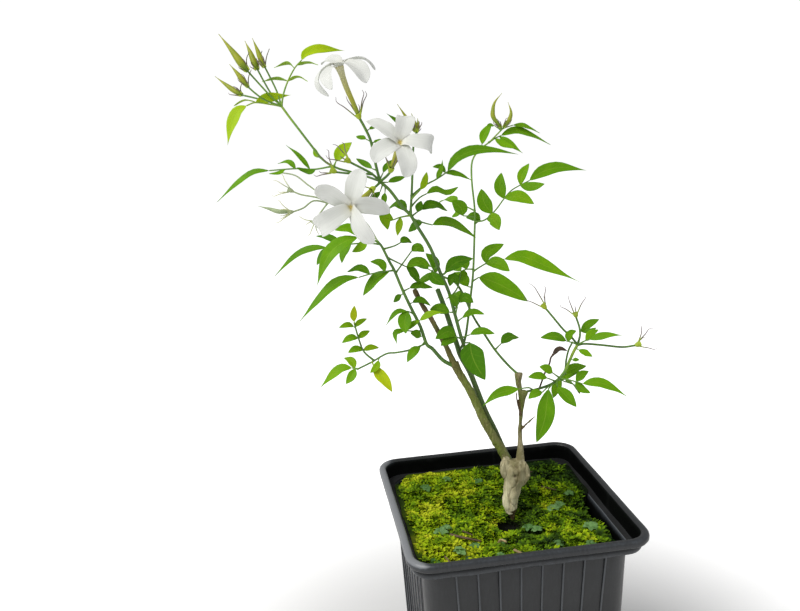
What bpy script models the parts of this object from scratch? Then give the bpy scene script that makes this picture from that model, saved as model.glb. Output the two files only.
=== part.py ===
"""A young jasmine with three open flowers in a black square nursery pot, 110 mm across its lip.

Everything is in metres, +Z up. The origin is the middle of the pot's underside, with +X to the
right along the pot's front and +Y to its back. The plant is laid out on an upright sheet that
stands through the foot of the trunk, square to the line from a viewer in front of the pot: a
layout point is (right, up, near) in millimetres, where near is how far it stands off the sheet
towards that viewer. Each stem's leaves, buds and calyces are fused to it.
"""

import math

import bmesh
import bpy
from mathutils import Matrix, Vector

MM = 0.001
GAP = 0.3  # between pieces that touch

# Pot, in millimetres
POT_HEIGHT = 120.0
LIP_HALF = 55.0
LIP_WIDTH = 4.3
BAND_HALF = 52.6
BAND_Z = 111.5
WALL_TOP_HALF = 47.6
BASE_HALF = 43.4
CORNER_RADIUS = 9.0
INNER_RADIUS = 8.0
CORNER_STEPS = 4
WALL = 1.5
LEDGE_Z = 111.0
FLOOR = 2.4
RIB_PITCH = 9.5
RIB_CONVERGE = 0.9  # the ribs stand closer together half way down
RIBS_A_FACE = 8
RIB_SIZE = (1.3, 1.4, 92.0)
RIB_PROUD = 0.1
RIB_Z = 56.0
RIB_STEP = 5.0  # every second rib is shorter
DRAIN_RADIUS = 4.5
DRAIN_OUT = 22.0

# Filling, in millimetres
SOIL_TOP = 101.0
MOSS_UNDER = SOIL_TOP + GAP
MOSS_TOP = 107.4
MOSS_HALF = 45.3
MOSS_CORNER = 1.28  # the moss's edge is this many halves away at its corners
MOSS_THINNEST = 1.4
MOSS_CELLS = 13
EDGE_DROP = 1.6
BANK_RISE = 4.4
HOLLOW = (1.2, -6.5, 6.2, 6.4, 4.6)  # middle x and y, radii and depth, in front of the trunk
HOLE_RADIUS = 3.7
ROOT_Z = 88.0

# Layout sheet, in millimetres
EYE = Vector((-96.7, -347.5, 307.5))
FOOT = Vector((4.85, 0.54, 109.0))
SHEET_RIGHT = Vector((0.98716, -0.15392, -0.04265))
SHEET_UP = Vector((0.07834, 0.23388, 0.96910))
SHEET_FAR = Vector((0.13919, 0.96000, -0.24294))
EYE_DISTANCE = 396.5

BLADE_THICK = 0.65
FINE_STEM_POINTS = 8  # a main stem with fewer points than this is smoothed between them
SHARP_ANGLE = math.radians(40)

COLOURS = {
    "black plastic": ((0.035, 0.035, 0.037), 0.42),
    "peat": ((0.035, 0.022, 0.014), 0.95),
    "moss": ((0.30, 0.34, 0.05), 0.95),
    "bark": ((0.42, 0.27, 0.13), 0.85),
    "leaf green": ((0.11, 0.27, 0.06), 0.5),
    "dry twig": ((0.10, 0.05, 0.03), 0.9),
    "petal": ((0.88, 0.89, 0.87), 0.55),
}


def clear_scene():
    for old in list(bpy.data.objects):
        bpy.data.objects.remove(old)


def material(name):
    """The Principled material of this name, made on first use."""
    found = bpy.data.materials.get(name)
    if found:
        return found
    colour, roughness = COLOURS[name]
    made = bpy.data.materials.new(name)
    made.use_nodes = True
    shader = made.node_tree.nodes["Principled BSDF"]
    shader.inputs["Base Color"].default_value = (*colour, 1.0)
    shader.inputs["Roughness"].default_value = roughness
    return made


def add_mesh(name, verts, faces, collection):
    mesh = bpy.data.meshes.new(name)
    mesh.from_pydata(verts, [], faces)
    obj = bpy.data.objects.new(name, mesh)
    collection.objects.link(obj)
    return obj


def baked(obj, collection):
    """The evaluated shape of the object as a plain mesh object, with its loose caps welded."""
    bpy.context.view_layer.update()
    graph = bpy.context.evaluated_depsgraph_get()
    mesh = bpy.data.meshes.new_from_object(obj.evaluated_get(graph))
    work = bmesh.new()
    work.from_mesh(mesh)
    bmesh.ops.remove_doubles(work, verts=work.verts, dist=1e-6)
    bmesh.ops.recalc_face_normals(work, faces=work.faces)
    work.to_mesh(mesh)
    work.free()
    made = bpy.data.objects.new(obj.name, mesh)
    made.matrix_world = obj.matrix_world.copy()
    collection.objects.link(made)
    bpy.data.objects.remove(obj)
    made.name = mesh.name
    return made


def boolean(obj, operation, cutters):
    """Joins or cuts the object with a collection of shapes, applies it and removes the shapes."""
    step = obj.modifiers.new("Join" if operation == "UNION" else "Cut", "BOOLEAN")
    step.operation = operation
    step.operand_type = "COLLECTION"
    step.collection = cutters
    step.solver = "MANIFOLD"
    name = obj.name
    home = obj.users_collection[0]
    made = baked(obj, home)
    made.name = name
    for used in list(cutters.objects):
        bpy.data.objects.remove(used)
    return made


def finish(obj, name, finish_name):
    """Names the solid, gives it its material and smooths its round faces."""
    obj.name = name
    obj.data.name = name
    obj.data.materials.clear()
    obj.data.materials.append(material(finish_name))
    obj.data.shade_smooth()
    obj.data.set_sharp_from_angle(angle=SHARP_ANGLE)
    return obj


def place(right, up, near):
    """A layout point, in metres in the part's own frame."""
    on_sheet = FOOT + SHEET_RIGHT * right + SHEET_UP * up
    return (on_sheet + (EYE - on_sheet) * (near / EYE_DISTANCE)) * MM


def shrink(near):
    """How much smaller a size read on the sheet really is, at this distance off it."""
    return 1.0 - near / EYE_DISTANCE


def spline(points, steps):
    """Points on a smooth curve through these ones, steps to a span."""
    ends = [points[0] * 2 - points[1], *points, points[-1] * 2 - points[-2]]
    found = []
    for i in range(1, len(ends) - 2):
        before, start, stop, after = ends[i - 1 : i + 3]
        for k in range(steps):
            t = k / steps
            found.append(
                0.5
                * (
                    start * 2
                    + (stop - before) * t
                    + (before * 2 - start * 5 + stop * 4 - after) * t * t
                    + (start * 3 - before - stop * 3 + after) * t * t * t
                )
            )
    return found + [points[-1].copy()]


def along(points, share):
    """The point this share of the way along a polyline."""
    spans = [(b - a).length for a, b in zip(points, points[1:])]
    left = share * sum(spans)
    for a, b, span in zip(points, points[1:], spans):
        if left <= span:
            return a.lerp(b, left / max(span, 1e-9))
        left -= span
    return points[-1].copy()


def nearest(lines, point):
    """The nearest point to this one on any of the polylines."""
    best = None
    for line in lines:
        for a, b in zip(line, line[1:]):
            run = b - a
            t = max(0.0, min(1.0, (point - a).dot(run) / max(run.length_squared, 1e-12)))
            spot = a + run * t
            if best is None or (spot - point).length < (best - point).length:
                best = spot
    return best


def tube(name, points, diameters, collection, resolution=1):
    """A round closed tube through the points, in metres, with a diameter in mm for each."""
    curve = bpy.data.curves.new(name, "CURVE")
    curve.dimensions = "3D"
    curve.bevel_depth = MM
    curve.bevel_resolution = resolution
    curve.use_fill_caps = True
    line = curve.splines.new("POLY")
    line.points.add(len(points) - 1)
    for spot, point, diameter in zip(line.points, points, diameters):
        spot.co = (*point, 1.0)
        spot.radius = diameter / 2
    obj = bpy.data.objects.new(name, curve)
    collection.objects.link(obj)
    return obj


def outline(share, peak, point):
    """Half the width of a blade at this share of its length, as a share of its widest."""
    if share < peak:
        return math.sin(0.5 * math.pi * share / peak) ** 0.8
    return max(0.0, math.cos(0.5 * math.pi * (share - peak) / (1 - peak))) ** point


def blade(name, route, width, facing, collection, peak=0.4, point=1.1, fold=0.22, rows=3):
    """A thin arched blade along the route, folded a little along its rib, in metres."""
    stops = [0.0] + [(k + 0.6) / (rows + 0.35) for k in range(rows)] + [1.0]
    verts = []
    for k, share in enumerate(stops):
        here = along(route, share)
        ahead = along(route, min(1.0, share + 0.06)) - along(route, max(0.0, share - 0.06))
        ahead.normalize()
        side = ahead.cross(facing).normalized()
        normal = side.cross(ahead).normalized()
        if 0 < k < len(stops) - 1:
            half = 0.5 * width * outline(share, peak, point)
            lift = normal * fold * half
            verts += [here - side * half + lift, here, here + side * half + lift]
        else:
            verts.append(here)
    last = len(verts) - 1
    faces = [(0, 2, 1), (0, 3, 2)]
    for row in range(rows - 1):
        a = 1 + row * 3
        b = a + 3
        faces += [(a, a + 1, b), (b, a + 1, b + 1), (a + 1, a + 2, b + 2), (a + 1, b + 2, b + 1)]
    a = 1 + (rows - 1) * 3
    faces += [(a, a + 1, last), (a + 1, a + 2, last)]
    obj = add_mesh(name, verts, faces, collection)
    skin = obj.modifiers.new("Thickness", "SOLIDIFY")
    skin.thickness = BLADE_THICK * MM
    skin.offset = 0.0
    return obj


class Sprig:
    """One leafy stem: pieces are added to it one by one, each rooted in what is there, then fused."""

    def __init__(self, name, finish_name="leaf green"):
        self.name = name
        self.finish_name = finish_name
        self.pieces = bpy.data.collections.new(name + "_pieces")
        bpy.context.scene.collection.children.link(self.pieces)
        self.lines = []

    def root(self, points):
        """The layout points in metres, the first moved onto the nearest stem already there."""
        spots = [place(*p) for p in points]
        if self.lines:
            spots[0] = nearest(self.lines, spots[0])
        return spots

    def stem(self, points, thick, thin, resolution=0):
        """A stem that tapers from thick to thin, both in mm. The first one carries the others."""
        spots = self.root(points)
        steps = 1
        if not self.lines:
            resolution = 1
            steps = 2 if len(points) < FINE_STEM_POINTS else 1
        line = spline(spots, steps)
        self.lines.append(line)
        count = len(line) - 1
        widths = [thick + (thin - thick) * k / count for k in range(count + 1)]
        tube(self.name, line, widths, self.pieces, resolution)
        return line

    def leaf(self, points, blades, tilt=35.0, stalk=1.0):
        """A compound leaf: its stalk through the points, and blades as (width, lift, spot, ...)."""
        line = self.stem(points, stalk, 0.75 * stalk)
        for width, lift, *spots in blades:
            self.leaflet(line, points, width, lift, spots, tilt)

    def leaflet(self, line, stalk_points, width, lift, spots, tilt):
        """One leaflet from its stalk. A spot is (right, up); its tip stands lift nearer."""
        start = min(stalk_points, key=lambda p: math.dist(p[:2], spots[0]))
        base = start[2]
        steps = len(spots) - 1
        route = [place(r, u, base + lift * k / steps) for k, (r, u) in enumerate(spots)]
        route[0] = nearest([line], route[0])
        angle = math.radians(tilt)
        facing = SHEET_FAR * -math.cos(angle) + Vector((0, 0, 1)) * math.sin(angle)
        long_tip = width < 0.3 * sum(math.dist(a, b) for a, b in zip(spots, spots[1:]))
        blade(
            self.name,
            spline(route, 4) if steps > 1 else route,
            width * shrink(base) * MM,
            facing,
            self.pieces,
            peak=0.36 if long_tip else 0.45,
            point=1.3 if long_tip else 0.8,
            rows=3 if steps > 2 else 2,
        )

    def bud(self, points, width):
        """A slim pointed flower bud along the points."""
        line = spline(self.root(points), 2)
        shares = [k / (len(line) - 1) for k in range(len(line))]
        widths = [max(0.5, width * (0.35 + 0.65 * math.sin(math.pi * s**1.6) ** 0.8)) for s in shares]
        widths[-1] = 0.5
        tube(self.name, line, widths, self.pieces)

    def calyx(self, start, top, tips, cup=2.6):
        """An open calyx: a small cup from start to top, and thin lobes to the tips."""
        axis = [nearest(self.lines, place(*start)), place(*top)]
        run = (axis[1] - axis[0]).normalized()
        middle = axis[0].lerp(axis[1], 0.55)
        tube(self.name, [axis[0], middle, axis[1]], [1.0, cup, cup], self.pieces)
        for tip in tips:
            end = place(*tip)
            out = end - axis[1]
            out = (out - run * out.dot(run)).normalized()
            rim = axis[1] + out * (0.5 * cup - 0.1) * MM
            knee = rim.lerp(end, 0.45) + out * 0.6 * MM + run * 0.8 * MM
            first = rim - run * 0.9 * MM - out * 0.35 * MM
            tube(self.name, [first, knee, end], [0.9, 0.8, 0.5], self.pieces, resolution=0)

    def fuse(self):
        """Joins all pieces into the one solid of this stem."""
        made = [baked(piece, self.pieces) for piece in list(self.pieces.objects)]
        body = made[0]
        self.pieces.objects.unlink(body)
        PARTS.objects.link(body)
        body = boolean(body, "UNION", self.pieces)
        bpy.data.collections.remove(self.pieces)
        return finish(body, self.name, self.finish_name)


def square_ring(half, radius, z):
    """A rounded square outline at height z, in metres."""
    ring = []
    for corner in range(4):
        middle = math.radians(45 + 90 * corner)
        side = half - radius
        at = Vector((math.copysign(side, math.cos(middle)), math.copysign(side, math.sin(middle))))
        for k in range(CORNER_STEPS + 1):
            turn = math.radians(90 * corner + 90 * k / CORNER_STEPS)
            ring.append(Vector((at.x + radius * math.cos(turn), at.y + radius * math.sin(turn), z)) * MM)
    return ring


def loft(name, rings, collection, capped=True):
    """Skin from ring to ring, closed at both ends, or joined from the last ring to the first."""
    size = len(rings[0])
    verts = [spot for ring in rings for spot in ring]
    pairs = list(zip(range(len(rings) - 1), range(1, len(rings))))
    if not capped:
        pairs.append((len(rings) - 1, 0))
    faces = []
    for low, high in pairs:
        for k in range(size):
            after = (k + 1) % size
            faces.append((low * size + k, low * size + after, high * size + after, high * size + k))
    if capped:
        faces.append(tuple(reversed(range(size))))
        faces.append(tuple((len(rings) - 1) * size + k for k in range(size)))
    obj = add_mesh(name, verts, faces, collection)
    work = bmesh.new()
    work.from_mesh(obj.data)
    bmesh.ops.recalc_face_normals(work, faces=work.faces)
    work.to_mesh(obj.data)
    work.free()
    return obj


def wall_half(z):
    """Half the pot's outer width at height z, on its plain wall."""
    return BASE_HALF + (WALL_TOP_HALF - BASE_HALF) * z / BAND_Z


def cylinder(name, radius, low, high, x, y, collection, sides=10):
    ring = [
        Vector((x + radius * math.cos(math.tau * k / sides), y + radius * math.sin(math.tau * k / sides), 0))
        for k in range(sides)
    ]
    return loft(name, [[(p + Vector((0, 0, z))) * MM for p in ring] for z in (low, high)], collection)


def pot_rings():
    """The pot's section, up the outside, over the lip and down the inside to the floor."""
    inner = LIP_HALF - LIP_WIDTH
    section = (
        # half width, corner radius, height
        (BASE_HALF - 1.0, CORNER_RADIUS - 1, 0.0),
        (BASE_HALF, CORNER_RADIUS, 1.0),
        (WALL_TOP_HALF, CORNER_RADIUS + 1, BAND_Z),
        (BAND_HALF, CORNER_RADIUS, BAND_Z + 0.4),
        (BAND_HALF, CORNER_RADIUS, 115.2),
        (BAND_HALF - 0.6, CORNER_RADIUS, 115.8),
        (LIP_HALF, CORNER_RADIUS + 2, 116.6),
        (LIP_HALF, CORNER_RADIUS + 2, 118.8),
        (LIP_HALF - 1.0, CORNER_RADIUS + 1, POT_HEIGHT),
        (inner + 1.2, INNER_RADIUS + 1, POT_HEIGHT),
        (inner, INNER_RADIUS, 118.6),
        (inner, INNER_RADIUS, LEDGE_Z),
        (wall_half(LEDGE_Z) - WALL, INNER_RADIUS, LEDGE_Z - 0.6),
        (wall_half(FLOOR) - WALL, INNER_RADIUS, FLOOR),
    )
    return [square_ring(half, radius, z) for half, radius, z in section]


def make_ribs(collection):
    """The upright ribs on the pot's four faces, leaning in with the walls towards the foot."""
    lean = math.atan2(WALL_TOP_HALF - BASE_HALF, BAND_Z)
    for number in range(4 * RIBS_A_FACE):
        k = number % RIBS_A_FACE
        turn = number // RIBS_A_FACE * math.pi / 2
        across = (k - (RIBS_A_FACE - 1) / 2) * RIB_PITCH
        bpy.ops.mesh.primitive_cube_add(size=1.0)
        rib = bpy.context.active_object
        rib.name = "rib"
        length = RIB_SIZE[2] - RIB_STEP * (k % 2)
        rib.scale = (RIB_SIZE[0] * MM, RIB_SIZE[1] * MM, length * MM)
        rib.rotation_mode = "YXZ"
        rib.rotation_euler = (lean, lean * across / WALL_TOP_HALF, turn)
        spot = Vector((across * RIB_CONVERGE, -wall_half(RIB_Z) - RIB_PROUD, RIB_Z)) * MM
        rib.location = Matrix.Rotation(turn, 3, "Z") @ spot
        for home in list(rib.users_collection):
            home.objects.unlink(rib)
        collection.objects.link(rib)
    for rib in list(collection.objects):
        baked(rib, collection)


def make_pot():
    """The black pot: tapered ribbed walls, rolled lip over a lower band, inner ledge, drain holes."""
    pot = loft("pot", pot_rings(), PARTS)
    ribs = bpy.data.collections.new("pot_ribs")
    bpy.context.scene.collection.children.link(ribs)
    make_ribs(ribs)
    pot = boolean(pot, "UNION", ribs)
    bpy.data.collections.remove(ribs)
    drains = bpy.data.collections.new("pot_drains")
    bpy.context.scene.collection.children.link(drains)
    for x, y in ((1, 1), (-1, 1), (-1, -1), (1, -1)):
        cylinder("drain", DRAIN_RADIUS, -2, FLOOR + 2, x * DRAIN_OUT, y * DRAIN_OUT, drains, sides=8)
    pot = boolean(pot, "DIFFERENCE", drains)
    bpy.data.collections.remove(drains)
    return finish(pot, "pot", "black plastic")


def hole_cutter(name, low):
    """A plain round hole where the trunk stands."""
    holes = bpy.data.collections.new(name)
    bpy.context.scene.collection.children.link(holes)
    cylinder(name, HOLE_RADIUS, low, POT_HEIGHT, FOOT.x, FOOT.y, holes, sides=12)
    return holes


def make_soil():
    """The peat that fills the pot up to the moss, with a hole for the foot of the trunk."""
    low = FLOOR + GAP
    rings = [
        square_ring(wall_half(z) - WALL - GAP, INNER_RADIUS, z) for z in (low, SOIL_TOP)
    ]
    soil = loft("soil", rings, PARTS)
    holes = hole_cutter("soil_hole", ROOT_Z - GAP)
    soil = boolean(soil, "DIFFERENCE", holes)
    bpy.data.collections.remove(holes)
    return finish(soil, "soil", "peat")


CUSHIONS = [
    (-34, -26, 13, 5.0), (-14, -36, 12, 4.0), (8, -34, 10, 3.4), (30, -30, 13, 3.2),
    (-38, 4, 11, 4.4), (-18, -12, 11, 4.6), (24, -6, 12, 3.0), (-30, 28, 14, 4.6),
    (-6, 20, 12, 4.2), (18, 26, 13, 4.4), (34, 16, 9, 2.8), (4, 38, 10, 3.2), (-12, 38, 8, 3.0),
]


def smooth(value, low, high):
    """0 below low, 1 above high, and a soft step between."""
    share = min(1.0, max(0.0, (value - low) / (high - low)))
    return share * share * (3 - 2 * share)


def moss_bank(x, y):
    """How much higher the moss stands towards the back, the left wall and the back right, in mm."""
    back = smooth(y, 2, 44)
    left = smooth(-x, 24, 45) * smooth(y, -36, -18)
    right = smooth(x, 26, 45) * smooth(y, -4, 12)
    return BANK_RISE * (1 - (1 - back) * (1 - left) * (1 - right))


def moss_height(x, y):
    """The moss's top over (x, y), in mm: low ground with round cushions, a bank and a hollow."""
    top = 0.9 * math.sin(0.31 * x + 0.8) * math.cos(0.27 * y - 0.4)
    for at_x, at_y, radius, rise in CUSHIONS:
        away = math.hypot(x - at_x, y - at_y) / radius
        if away < 1:
            top = max(top, rise * math.sqrt(1 - away * away) * 0.85)
    bank = moss_bank(x, y)
    top *= 1 - 0.7 * bank / BANK_RISE
    at_x, at_y, wide, deep, depth = HOLLOW
    hollow = depth * math.exp(-(((x - at_x) / wide) ** 2) - ((y - at_y) / deep) ** 4)
    return MOSS_TOP + top - 0.9 + bank - hollow


def moss_edge(turn):
    """The distance from the middle to the moss's edge in this direction: a rounded square."""
    square = MOSS_HALF / max(abs(math.cos(turn)), abs(math.sin(turn)))
    return min(square, MOSS_HALF * MOSS_CORNER)


def make_moss():
    """The moss carpet on the soil, raised in cushions by a formula, open round the trunk."""
    verts = []
    count = MOSS_CELLS + 1
    for row in range(count):
        for col in range(count):
            s = 2 * col / MOSS_CELLS - 1
            t = 2 * row / MOSS_CELLS - 1
            reach = max(abs(s), abs(t))
            edge = moss_edge(math.atan2(t, s)) if reach else 0.0
            length = math.hypot(s, t) or 1.0
            x = s / length * edge * reach
            y = t / length * edge * reach
            z = max(moss_height(x, y) - EDGE_DROP * reach**8, MOSS_UNDER + MOSS_THINNEST)
            verts.append(Vector((x, y, z)) * MM)
    faces = []
    for row in range(MOSS_CELLS):
        for col in range(MOSS_CELLS):
            a = row * count + col
            faces.append((a, a + 1, a + count + 1))
            faces.append((a, a + count + 1, a + count))
    border = [k for k in range(count)]
    border += [row * count + count - 1 for row in range(1, count)]
    border += [(count - 1) * count + col for col in range(count - 2, -1, -1)]
    border += [row * count for row in range(count - 2, 0, -1)]
    low = len(verts)
    for k in border:
        verts.append(Vector((verts[k].x, verts[k].y, MOSS_UNDER * MM)))
    size = len(border)
    for k in range(size):
        after = (k + 1) % size
        faces.append((border[k], low + k, low + after, border[after]))
    faces.append(tuple(low + k for k in reversed(range(size))))
    moss = add_mesh("moss", verts, faces, PARTS)
    holes = hole_cutter("moss_hole", MOSS_UNDER - 5)
    moss = boolean(moss, "DIFFERENCE", holes)
    bpy.data.collections.remove(holes)
    return finish(moss, "moss", "moss")


def woody(sprig, points, widths, resolution=1, steps=2):
    """A woody tube with its own width at each layout point."""
    spots = [place(*p) for p in points]
    line = spline(spots, steps)
    sizes = [w.x for w in spline([Vector((w, 0, 0)) for w in widths], steps)]
    sprig.lines.append(line)
    tube(sprig.name, line, sizes, sprig.pieces, resolution)


TRUNK_LINES = (
    # layout points, diameter in mm at each: the root, the stump and its two shoulders
    ([(0.3, -18.8, -4.6), (0.4, -10, -2.5), (0.4, -4, -1), (0.1, 0.6, 0.2)], [3.6, 3.4, 3.4, 4.6]),
    ([(0.1, -0.6, 0), (-0.3, 3, 0.6), (-0.4, 6, 1.2), (0.2, 10, 2.5), (1.2, 15, 4), (1.8, 19, 5),
      (1.9, 25.2, 6)],
     [4.4, 6.8, 7.8, 8.2, 9.4, 11.4, 9.6]),
    ([(-1.6, 17.5, 5.5), (-3.2, 23, 6.6), (-2.4, 26, 7)], [4.0, 5.2, 3.4]),
    ([(4.6, 14.5, 5), (6.7, 21, 6.2), (5.8, 24.8, 7)], [4.2, 5.6, 3.6]),
    # the left cane, cut off, and the thinner one beyond the cut
    ([(-1.0, 23.6, 3.4), (-3.6, 29.5, 5.6), (-7.8, 36, 8), (-14, 47, 11), (-20, 60, 13), (-26, 70, 15),
      (-28, 74.5, 16)],
     [5.0, 4.5, 4.3, 4.1, 3.9, 3.8, 4.2]),
    ([(-28, 73, 16), (-31, 80, 17), (-35, 88, 18), (-40, 97, 19), (-44, 103, 20), (-48, 111, 21)],
     [3.4, 2.7, 2.5, 2.4, 2.4, 2.5]),
    # the right leg with its two cut tops and two thin twigs
    ([(3, 18, 5), (4.5, 26, 6), (4.5, 36, 7), (4.5, 43, 8), (5, 50, 9), (6, 56, 10), (7, 60.5, 11)],
     [6.0, 4.4, 2.4, 2.0, 2.1, 2.3, 3.2]),
    ([(5.2, 52, 9.3), (4.5, 61, 11), (3.5, 65, 12), (3.8, 69.5, 13)], [1.8, 2.4, 2.8, 4.0]),
    ([(4.8, 49, 8.9), (3, 56, 10.5), (2.5, 60, 12)], [1.0, 0.9, 0.8]),
    ([(4.7, 41, 7.8), (8, 44.5, 9), (12, 48, 10)], [1.0, 0.9, 0.7]),
)


def make_trunk():
    """The tan stump with its two legs and the brown canes of the left side."""
    wood = Sprig("trunk", "bark")
    for points, widths in TRUNK_LINES:
        steps = 2 if 4 <= len(points) <= 5 else 1
        woody(wood, points, widths, resolution=2 if max(widths) > 8 else 1, steps=steps)
    return wood.fuse()


def make_flowering_stem():
    """The green cane with its cut top, and the stem from it that carries the three flowers."""
    s = Sprig("flowering_stem")
    s.stem([(-0.4, 25.4, -1.0), (-4.6, 33.4, 0.0), (-8, 41, 3.2), (-12.5, 50, 6.6), (-16.5, 60, 8.6),
            (-20.5, 70, 10), (-25, 78, 11), (-27, 84, 12), (-31, 96, 14), (-33, 102, 15), (-36.5, 111, 17)],
           3.0, 2.4)
    s.stem([(-21.5, 72, 11), (-22.2, 79, 13.4), (-25, 88, 16.5), (-28.5, 101, 20), (-31, 110, 22),
            (-35, 119, 25), (-40, 131.5, 29), (-47, 143, 33), (-50, 148, 35), (-54, 152, 37),
            (-60, 160, 41), (-65, 164.5, 43)], 1.8, 1.4)
    # pedicels from the junction of the flowers
    s.stem([(-65, 164.5, 43), (-67, 172, 44.5), (-69.5, 184, 46.5), (-72, 190, 47), (-75, 195.5, 48)], 1.3,
           1.2)
    s.calyx((-75, 195.5, 48), (-76, 197.8, 48.2),
            [(-87, 206.5, 50), (-74, 210, 53), (-72.5, 209.5, 44), (-82, 207, 43)])
    s.stem([(-65, 164.5, 43), (-62, 167, 47), (-60.2, 169, 49.5)], 1.2, 1.1)
    s.calyx((-60.2, 169, 49.5), (-59.4, 171.2, 51),
            [(-63.5, 181, 53), (-54, 178, 49), (-57, 177, 57), (-62, 176, 46)])
    s.stem([(-65, 164.5, 43), (-66.2, 163, 44.5), (-67.6, 161.8, 45.6)], 1.2, 1.1)
    s.calyx((-67.6, 161.8, 45.6), (-69.3, 160.4, 46.8), [(-77, 165, 42), (-66, 152, 46), (-73, 153, 42)])
    s.stem([(-65, 165, 43), (-70, 169, 46.5), (-79.6, 174, 48)], 1.1, 1.0)
    s.calyx((-79.6, 174, 48), (-82, 175.6, 48.3), [(-92, 177.6, 50), (-88.6, 183, 48), (-84, 184, 46)])
    s.stem([(-69, 168.6, 46), (-79, 168.5, 49), (-86.6, 169.2, 49.5)], 1.0, 0.9)
    s.calyx((-86.6, 169.2, 49.5), (-89.4, 170.2, 49.6),
            [(-96.4, 177, 51), (-98, 168, 50), (-91.6, 180.4, 47)])
    # bract on the pedicel of the top flower, and the small leaves at the junction
    s.leaf([(-69.4, 183, 46.3), (-68.4, 184, 45.6)],
           [(2.6, -2, (-68.4, 184), (-66.3, 184.5), (-63.5, 185.5))], stalk=0.8)
    s.leaf([(-66.6, 170, 44.2), (-69, 171, 42)], [(3.4, -4, (-69, 171), (-72, 173), (-77, 176))], stalk=0.8)
    s.leaf([(-65, 165.5, 43), (-63.5, 169, 42)], [(3.2, -3, (-63.5, 169), (-61.8, 172), (-58.5, 175.5))],
           stalk=0.8)
    s.leaf([(-64.5, 164, 43), (-61, 164.2, 41)], [(3.6, -4, (-61, 164.2), (-58, 165.2), (-52.5, 167))],
           stalk=0.8)
    s.leaf([(-63.6, 163.4, 42.5), (-65, 159.5, 43)], [(3.4, 2, (-65, 159.5), (-67, 157.5), (-70, 154))],
           stalk=0.8)
    s.leaf([(-62.5, 162.2, 42), (-62.6, 159, 41)], [(3.0, 1, (-62.6, 159), (-63, 156), (-63, 152.5))],
           stalk=0.8)
    # small leaves behind the pedicel of the top flower
    s.leaf([(-71.8, 189.7, 47), (-70.5, 190.5, 44)], [(2.6, -2, (-70.5, 190.5), (-66, 192.5))], stalk=0.7)
    s.leaf([(-69.5, 184.5, 46.5), (-72, 185.6, 43)], [(3.4, -3, (-72, 185.6), (-77, 187))], stalk=0.7)
    # stem behind the middle flower, with its young buds
    s.stem([(-50, 148, 35), (-49.3, 160, 36), (-49, 169, 38), (-48.5, 182, 40), (-47, 189, 41)], 1.2, 0.9)
    s.bud([(-47, 189, 41), (-50, 194, 42), (-52, 196.5, 42.5), (-56.5, 203, 43)], 2.2)
    s.bud([(-47, 189, 41), (-47.6, 193, 41), (-49.5, 198.5, 41)], 1.9)
    s.bud([(-47, 189, 41), (-46.2, 192, 40.5), (-46.4, 196, 40)], 1.8)
    s.leaf([(-48.8, 183, 40.2), (-53, 190, 39)], [(3.0, -2, (-53, 190), (-56, 194), (-62, 198.5))], stalk=0.8)
    # leaves of the node half way up
    s.leaf([(-50, 147.5, 35), (-55, 146.8, 37), (-58.5, 145.5, 39)],
           [(6.6, 4, (-58.5, 146), (-63, 146.8), (-61.2, 140.6)),
            (3.8, 2, (-54.6, 146), (-55.6, 142), (-56.4, 137.6))])
    s.leaf([(-50.5, 148.6, 35), (-52, 150, 33)], [(6.0, -5, (-51.4, 150), (-56, 153.4), (-62, 150))],
           stalk=0.9)
    s.leaf([(-49, 147.6, 34.6), (-46.5, 149.5, 32), (-44.5, 150.6, 31)],
           [(6.4, -4, (-44.5, 150.6), (-38.5, 153), (-31.4, 149.8)), (4.0, 0, (-46.5, 149.5), (-44.5, 155))])
    s.leaf([(-48.6, 146, 34), (-43, 144, 30), (-39, 143, 28)],
           [(7.8, -8, (-39, 143), (-33, 144.6), (-26, 142), (-17.4, 136.6)),
            (6.0, -4, (-44.4, 144.4), (-47.4, 142.6), (-51, 139.6))])
    s.leaf([(-49.4, 152, 35.2), (-45.5, 156.5, 33), (-42, 158.5, 31)],
           [(5.4, -5, (-42, 158.5), (-37, 160.5), (-32, 158.5), (-26, 162))])
    s.leaf([(-49.3, 156, 35.6), (-45, 160.5, 37)], [(3.6, 3, (-45, 160.5), (-43, 164), (-41.8, 169.4))],
           tilt=10)
    # branch to the long leaf over the right side
    s.leaf([(-49.2, 157.5, 36), (-44, 162, 31), (-37, 165.8, 27), (-31.5, 169.5, 24)],
           [(6.6, -9, (-31.5, 169.5), (-27, 176), (-18, 180), (-8, 180), (4, 178)),
            (3.8, -4, (-33, 168.5), (-27, 168.4), (-19, 165)), (3.0, 2, (-33, 168.8), (-35, 171.8),
                                                                (-39, 171.8)),
            (2.8, 0, (-37, 166), (-34.6, 171), (-34, 175.6))], stalk=1.1)
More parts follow.
